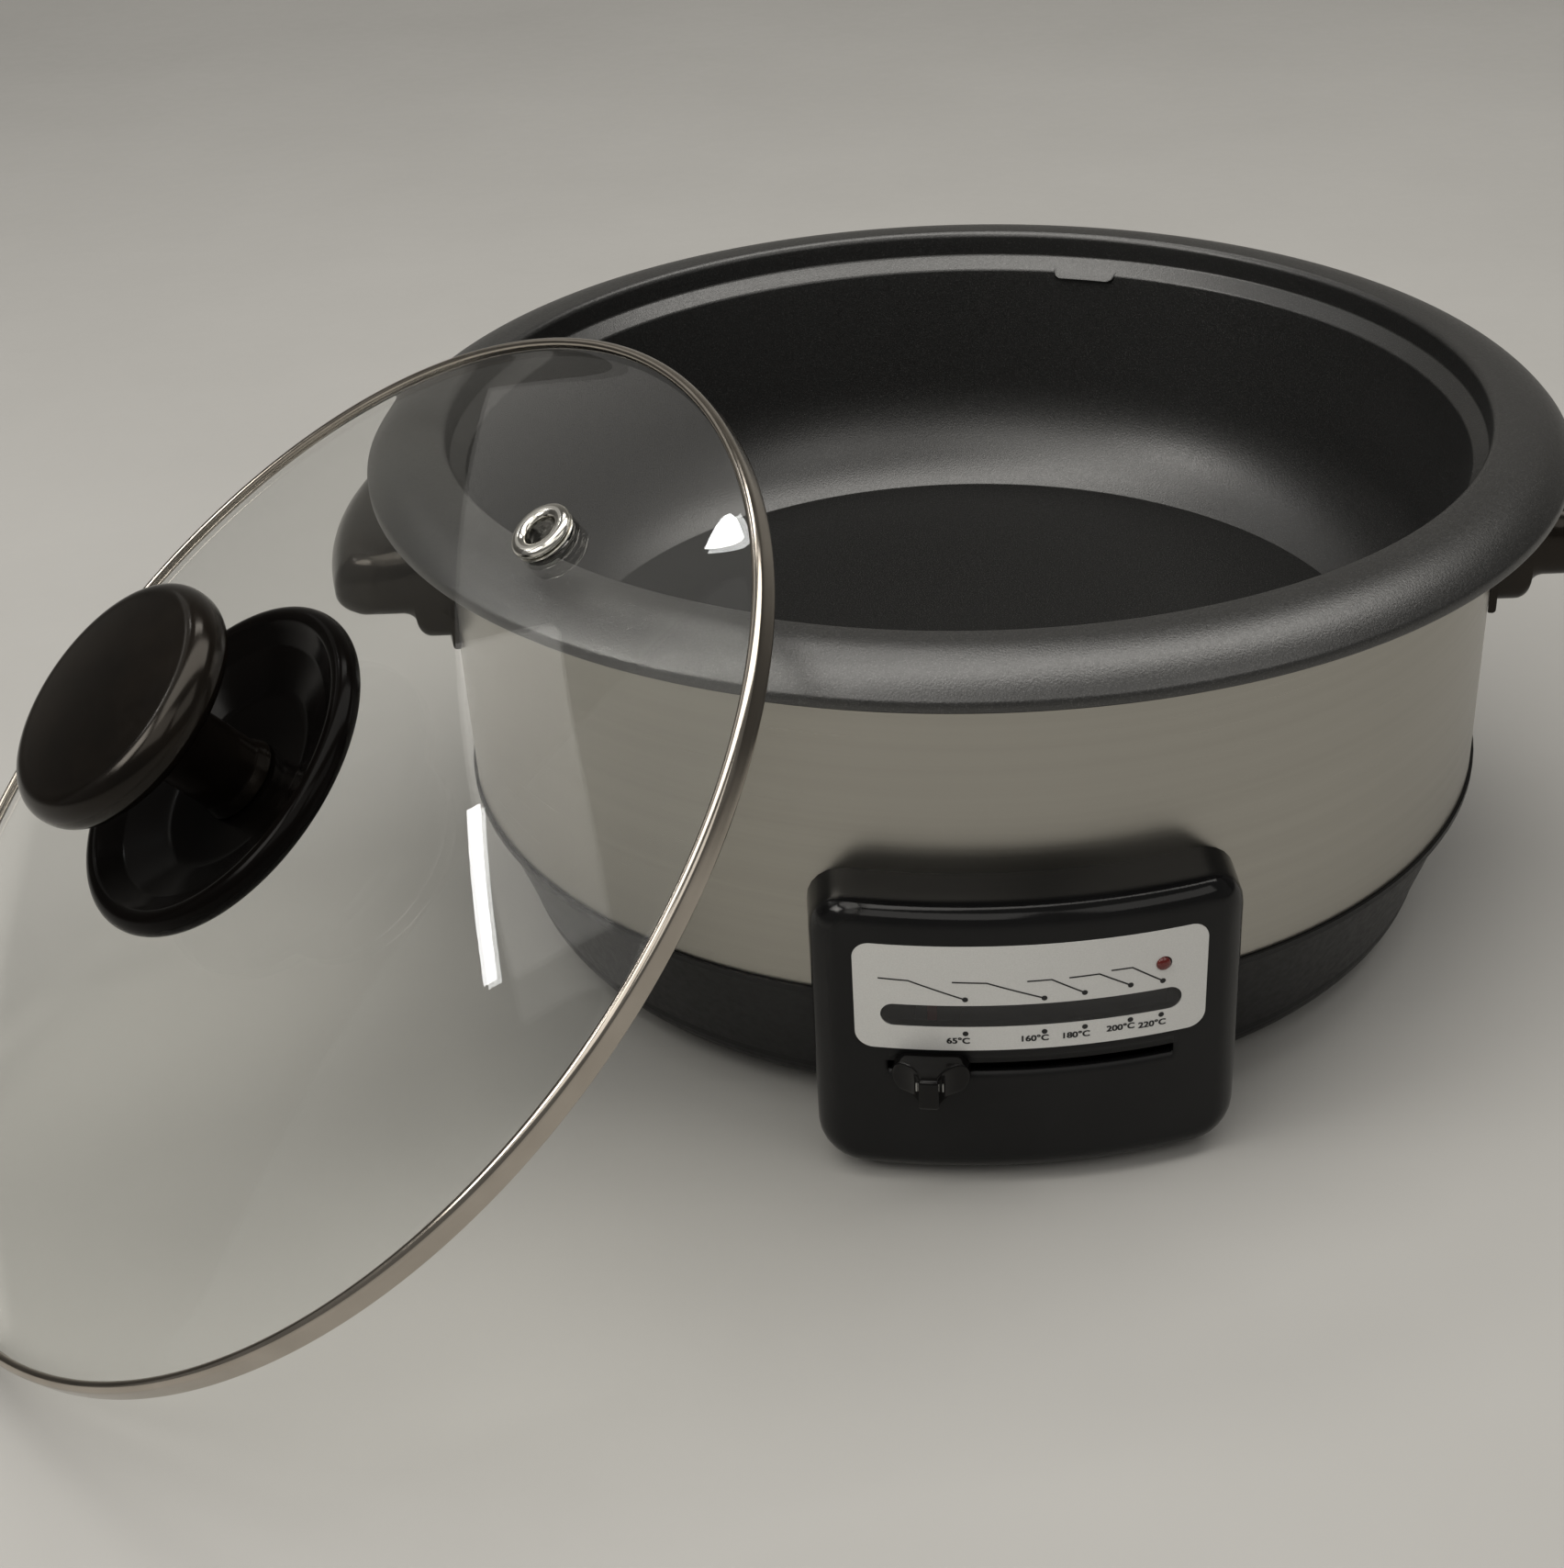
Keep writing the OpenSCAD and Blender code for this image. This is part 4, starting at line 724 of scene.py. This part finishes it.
def slider_knob():
    """Plan outline of the slider, a blunt tip between two scoops, carried up. Seen from the front, its ends are
    half circles; the tip draws in by a quarter circle at its top and bottom."""
    middle, tall = (KNOB_LOW[2] + KNOB_HIGH[2]) / 2, (KNOB_HIGH[2] - KNOB_LOW[2]) / 2
    lift = tall * np.sin(np.radians(np.linspace(-90, 90, 41)))
    past = np.clip((np.abs(lift) - tall + SLIDER_EDGE) / SLIDER_EDGE, 0, 1)
    inset = SLIDER_EDGE * (1 - np.sqrt(1 - past ** 2))
    ends = SLIDER_W / 2 - SLIDER_BOW * (1 - np.sqrt(1 - (lift / tall) ** 2))
    rows = []
    for h, d, end in zip(lift, inset, ends):
        scoop, scoop_x = SCALLOP_R + 0.5 * d, SLIDER_TIP / 2 + SCALLOP_R
        near = -180 + math.degrees(math.asin(d / scoop))
        far = -math.degrees(math.acos((scoop_x - end + SLIDER_WING) / -scoop))
        bow = arc(scoop_x, SLIDER_REACH, scoop, far, near, 18)
        side = arc(end - SLIDER_ROUND, bow[0, 1] - SLIDER_ROUND, SLIDER_ROUND, 0, 75, 5)
        half = np.concatenate([[(end, -end ** 2 / (2 * FACE_R))], side, bow[1:],
                               [(bow[-1, 0] - NIB_IN, SLIDER_REACH - d + NIB_OUT)]])
        outline = np.concatenate([half, half[::-1] * [-1, 1]])
        rows.append(on_face(outline[:, 0], FACE_R + SLIDER_GAP + outline[:, 1], middle + h, SLIDER_TURN))
    dress(surface("slider", np.array(rows), caps=True, sharp=50), "slider", "satin_black",
          FINISH["slider_black"], "slider_knob")


def cup_r(z):
    """Radius of the base cup at a height: a leaning side that rounds into the bottom."""
    side = CUP_FOOT_R + (z - FOOT_H - CUP_CORNER) / (BAND_Z - FOOT_H - CUP_CORNER) * CUP_LEAN
    drop = np.clip(FOOT_H + CUP_CORNER - z, 0, CUP_CORNER - 0.5)
    corner = CUP_FOOT_R - CUP_CORNER + np.sqrt(CUP_CORNER ** 2 - drop ** 2)
    return np.where(drop > 0, corner, np.minimum(side, BAND_R - 1))


def face_grid():
    """Points of the housing's front, across and up from its middle: a rectangle with round corners, whose rows and
    columns also lie on the edges of the slider's slot and the window."""
    inner = HALF_H - FACE_ROUND
    bend = np.radians(np.linspace(0, 90, 7))
    plain = np.linspace(-inner, inner, 22)
    cuts = np.array([SLOT_Z - SLOT_H / 2, SLOT_Z + SLOT_H / 2, WINDOW_Z - WINDOW_H / 2, WINDOW_Z + WINDOW_H / 2])
    up = np.concatenate([-inner - FACE_ROUND * np.cos(bend), plain[1:-1], cuts - BOX_MIDDLE,
                         inner + FACE_ROUND * np.sin(bend)])
    up = np.unique(up.round(6))
    over = np.clip(np.abs(up) - inner, 0, FACE_ROUND)
    wide = HALF_W - FACE_ROUND + np.sqrt(np.maximum(FACE_ROUND ** 2 - over ** 2, 0))
    share = np.unique(np.concatenate([np.linspace(-1, 1, 41), np.array([-1, 1]) * SLOT_HALF / HALF_W,
                                      np.array([-0.5, 0.5]) * WINDOW_W / HALF_W]).round(6))
    return wide[:, None] * share, up[:, None] + 0 * share


def face_quads(u, v, index):
    """Faces of the front's grid, without those in the slot and the window."""
    quads = np.stack([index[:-1, :-1], index[:-1, 1:], index[1:, 1:], index[1:, :-1]], -1)
    mid_u = (u[:-1, :-1] + u[1:, 1:]) / 2
    mid_z = (v[:-1, :-1] + v[1:, 1:]) / 2 + BOX_MIDDLE
    slot = (np.abs(mid_u) < SLOT_HALF) & (np.abs(mid_z - SLOT_Z) < SLOT_H / 2)
    window = (np.abs(mid_u) < WINDOW_W / 2) & (np.abs(mid_z - WINDOW_Z) < WINDOW_H / 2)
    return quads[~(slot | window)]


def housing_sides(edge):
    """Rings of points from the front's outline back to the body: a quarter circle outwards, then a straight run to
    the base cup."""
    limit = np.array([HALF_W, HALF_H]) - FACE_ROUND
    inner = np.clip(edge, -limit, limit)
    way = (edge - inner) / np.linalg.norm(edge - inner, axis=1)[:, None]
    turn, run = np.radians(np.linspace(0, 90, 13))[1:], np.linspace(0, 1, 9)[1:]
    grow = np.concatenate([BOX_EDGE * np.sin(turn), np.full(len(run), BOX_EDGE)])
    deep = np.concatenate([BOX_EDGE * (1 - np.cos(turn)), np.full(len(run), BOX_EDGE)])
    back = np.concatenate([np.zeros(len(turn)), run])
    ring = edge + way * grow[:, None, None]
    front = np.sqrt(FACE_R ** 2 - ring[..., 0] ** 2) - deep[:, None]
    rear = np.sqrt((cup_r(ring[..., 1] + BOX_MIDDLE) - BOX_WALL) ** 2 - ring[..., 0] ** 2)
    y = -(front + (rear - front) * back[:, None])
    return np.stack([ring[..., 0], y, ring[..., 1] + BOX_MIDDLE], -1)


def housing():
    """The control housing as one bent sheet: a front face on a cylinder, with the slider's slot and the window cut
    out of its grid, a quarter circle round its whole outline, and sides that run back to the body. Solidify gives
    the sheet its wall."""
    u, v = face_grid()
    face = np.stack([u, -np.sqrt(FACE_R ** 2 - u ** 2), v + BOX_MIDDLE], -1)
    index = np.arange(u.size).reshape(u.shape)
    loop = np.concatenate([index[0, :-1], index[:-1, -1], index[-1, :0:-1], index[:0:-1, 0]])
    sides = housing_sides(np.stack([u.ravel()[loop], v.ravel()[loop]], -1))
    rings = np.vstack([loop, u.size + np.arange(sides.shape[0] * len(loop)).reshape(-1, len(loop))])
    rings = np.hstack([rings, rings[:, :1]])
    walls = np.stack([rings[:-1, :-1], rings[1:, :-1], rings[1:, 1:], rings[:-1, 1:]], -1).reshape(-1, 4)
    points = np.concatenate([face.reshape(-1, 3), sides.reshape(-1, 3)]) * MM
    mesh = bpy.data.meshes.new("housing")
    mesh.from_pydata(points.tolist(), [], np.concatenate([face_quads(u, v, index), walls]).tolist())
    piece = finished("housing", mesh, 50)
    shell = piece.modifiers.new("wall", "SOLIDIFY")
    shell.thickness = BOX_WALL * MM
    shell.offset = -1
    dress(piece, "pot", "gloss_black", FINISH["housing_black"], "control_housing")


def lamp_dome():
    """A small round lens with a low dome, square to the control face."""
    middle = (LAMP_LOW + LAMP_HIGH) / 2
    turn = math.atan2(middle[0], -middle[1])
    dome = arc(0, 0, LAMP_D / 2, 0, 90, 12) * [1, LAMP_FLAT] + [0, LABEL_R + LAMP_RISE]
    ring = turned(np.concatenate([[(LAMP_D / 2, LABEL_R - LAMP_SINK)], dome]), 40)
    points = on_face(ring[..., 0], ring[..., 2], middle[2] + ring[..., 1], turn)
    dress(surface("lamp_cap", points, caps=True), "pot", "red_lens", FINISH["red_lens"], "lamp_lens")


def printed(name, across, z):
    """A flat mark on the plate, as a grid of points across and up, laid on its curve."""
    piece = surface(name, wrapped(across, z, LABEL_R + MARK_RISE), wrap=(False, False), sharp=180)
    dress(piece, "pot", "label", FINISH["print"])


def dot(name, across, z):
    """A round mark: rings of points from the middle out."""
    t = np.linspace(0, 2 * math.pi, 25)
    rings = np.linspace(0, DOT_R, 3)[:, None]
    printed(name, across + rings * np.cos(t), z + rings * np.sin(t))


def leader(name, points):
    """A thin bent line, as a strip of even width."""
    path = finer(np.array(points), 2.0)
    way = np.gradient(path, axis=0)
    side = np.stack([-way[:, 1], way[:, 0]], -1) / np.linalg.norm(way, axis=1)[:, None]
    strip = path[:, None] + side[:, None] * np.array([[-0.5], [0.5]]) * LEADER_W
    printed(name, strip[..., 0], strip[..., 1])


def number(name, words, across, z, out):
    """A plain number, set as flat letter shapes, made a mesh and then laid on the curve."""
    curve = bpy.data.curves.new(name, "FONT")
    curve.body = words
    curve.align_x, curve.align_y = "CENTER", "CENTER"
    flat = bpy.data.objects.new(name, curve)
    bpy.context.scene.collection.objects.link(flat)
    shape = bpy.data.meshes.new_from_object(flat)
    bpy.data.objects.remove(flat)
    points = np.empty(len(shape.vertices) * 3)
    shape.vertices.foreach_get("co", points)
    points = points.reshape(-1, 3) * NUMBER_H / DIGIT_H * [NUMBER_WIDE, 1, 1]
    laid = wrapped(across + points[:, 0], z + points[:, 1], LABEL_R + out)
    shape.vertices.foreach_set("co", (laid * MM).ravel())
    shape.update()
    piece = bpy.data.objects.new(name, shape)
    bpy.context.scene.collection.objects.link(piece)
    dress(piece, "pot", "label", FINISH["print"])


def label_marks():
    """Dots over and under the window, the bent lines up from the dots, and the temperatures."""
    for k, ((turn, high), (low_turn, low), bend, top, (text, text_turn, text_z)) in enumerate(MARKS):
        arcs = [LABEL_R * math.radians(a) for a in (turn, low_turn, bend[0], top[0], text_turn)]
        dot(f"dot_high_{k}", arcs[0], high)
        dot(f"dot_low_{k}", arcs[1], low)
        leader(f"leader_{k}", [(arcs[3], top[1]), (arcs[2], bend[1]), (arcs[0], high)])
        for step, (aside, up) in enumerate(STROKES):
            number(f"number_{k}_{step}", text, arcs[4] + aside, text_z + up, NUMBER_RISE + STROKE_RISE * step)


def dress_packed_nodes():
    """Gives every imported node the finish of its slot."""
    slots = {part["node"]: part["material_slot"] for part in frame["record"]["subparts"]}
    for name, node in frame["nodes"].items():
        node.data.materials.clear()
        node.data.materials.append(FINISH[slots[name]])


def make_camera():
    """The camera at the photograph's place and angle, with its focal length in pixels made a lens."""
    camera = bpy.data.objects.new("camera", bpy.data.cameras.new("camera"))
    bpy.context.scene.collection.objects.link(camera)
    axes = Matrix((CAMERA_RIGHT, CAMERA_UP, CAMERA_BACK)).transposed()
    camera.matrix_world = Matrix.Translation(CAMERA_AT) @ axes.to_4x4()
    camera.data.lens = FOCAL_PX * SENSOR_MM / IMAGE_H
    camera.data.sensor_width = SENSOR_MM
    camera.data.shift_x = (IMAGE_W / 2 - CENTRE_PX) / IMAGE_H
    bpy.context.scene.camera = camera


def make_stage():
    """A pale floor that sweeps up into a backdrop behind the object."""
    way = np.linspace(STAGE_NEAR, STAGE_FAR, STAGE_ROWS)[:, None] / MM
    across = np.linspace(-STAGE_SIDE, STAGE_SIDE, STAGE_COLUMNS)[None, :] / MM
    start, bend = STAGE_BEND_AT / MM, STAGE_BEND_R / MM
    turn = np.clip((way - start) / bend, 0, math.pi / 2)
    y = np.minimum(way, start) + bend * np.sin(turn)
    z = bend * (1 - np.cos(turn)) + np.maximum(way - start - bend * math.pi / 2, 0)
    grid = np.stack([across + 0 * y, y + 0 * across, z + 0 * across], -1)
    floor = surface("floor", grid, wrap=(False, False), sharp=180)
    pale = Finish("pale_floor", specular_ior_level=0.3)
    pale.colour(pale.noise(6, detail=3), (0.3, (0.41, 0.405, 0.390)), (0.7, (0.43, 0.425, 0.410)))
    pale.rough(pale.noise(90, detail=4), (0.3, 0.5), (0.7, 0.62))
    floor.data.materials.append(pale.made)


def lamp(name, at, towards, size, power, tone):
    """A soft rectangular lamp that looks at a point."""
    light = bpy.data.lights.new(name, "AREA")
    light.shape = "RECTANGLE"
    light.size, light.size_y = size
    light.energy = power
    light.color = tone
    placed = bpy.data.objects.new(name, light)
    placed.location = at
    placed.visible_camera = False
    placed.rotation_euler = (Vector(towards) - Vector(at)).to_track_quat("-Z", "Y").to_euler()
    bpy.context.scene.collection.objects.link(placed)


def make_light():
    """One broad soft lamp overhead, weaker ones in front, at the side and behind, a wide dim panel and a card that
    show softly in the glass, a narrow strip and a small lamp for its highlights, and a dim even room."""
    for row in LAMPS:
        lamp(*row)
    world = bpy.data.worlds.new("room")
    bpy.context.scene.world = world
    world.use_nodes = True
    back = world.node_tree.nodes["Background"]
    back.inputs["Color"].default_value = (*ROOM_COLOUR, 1)
    back.inputs["Strength"].default_value = ROOM_STRENGTH
    bpy.context.scene.view_settings.view_transform = "Standard"


make_camera()
make_stage()
make_light()
dress_packed_nodes()
pot()
ledge_tab()
steel_band()
handles()
lid_ring()
lid_glass()
vent_grommet()
knob()
slider_knob()
lamp_dome()
label_marks()
housing()
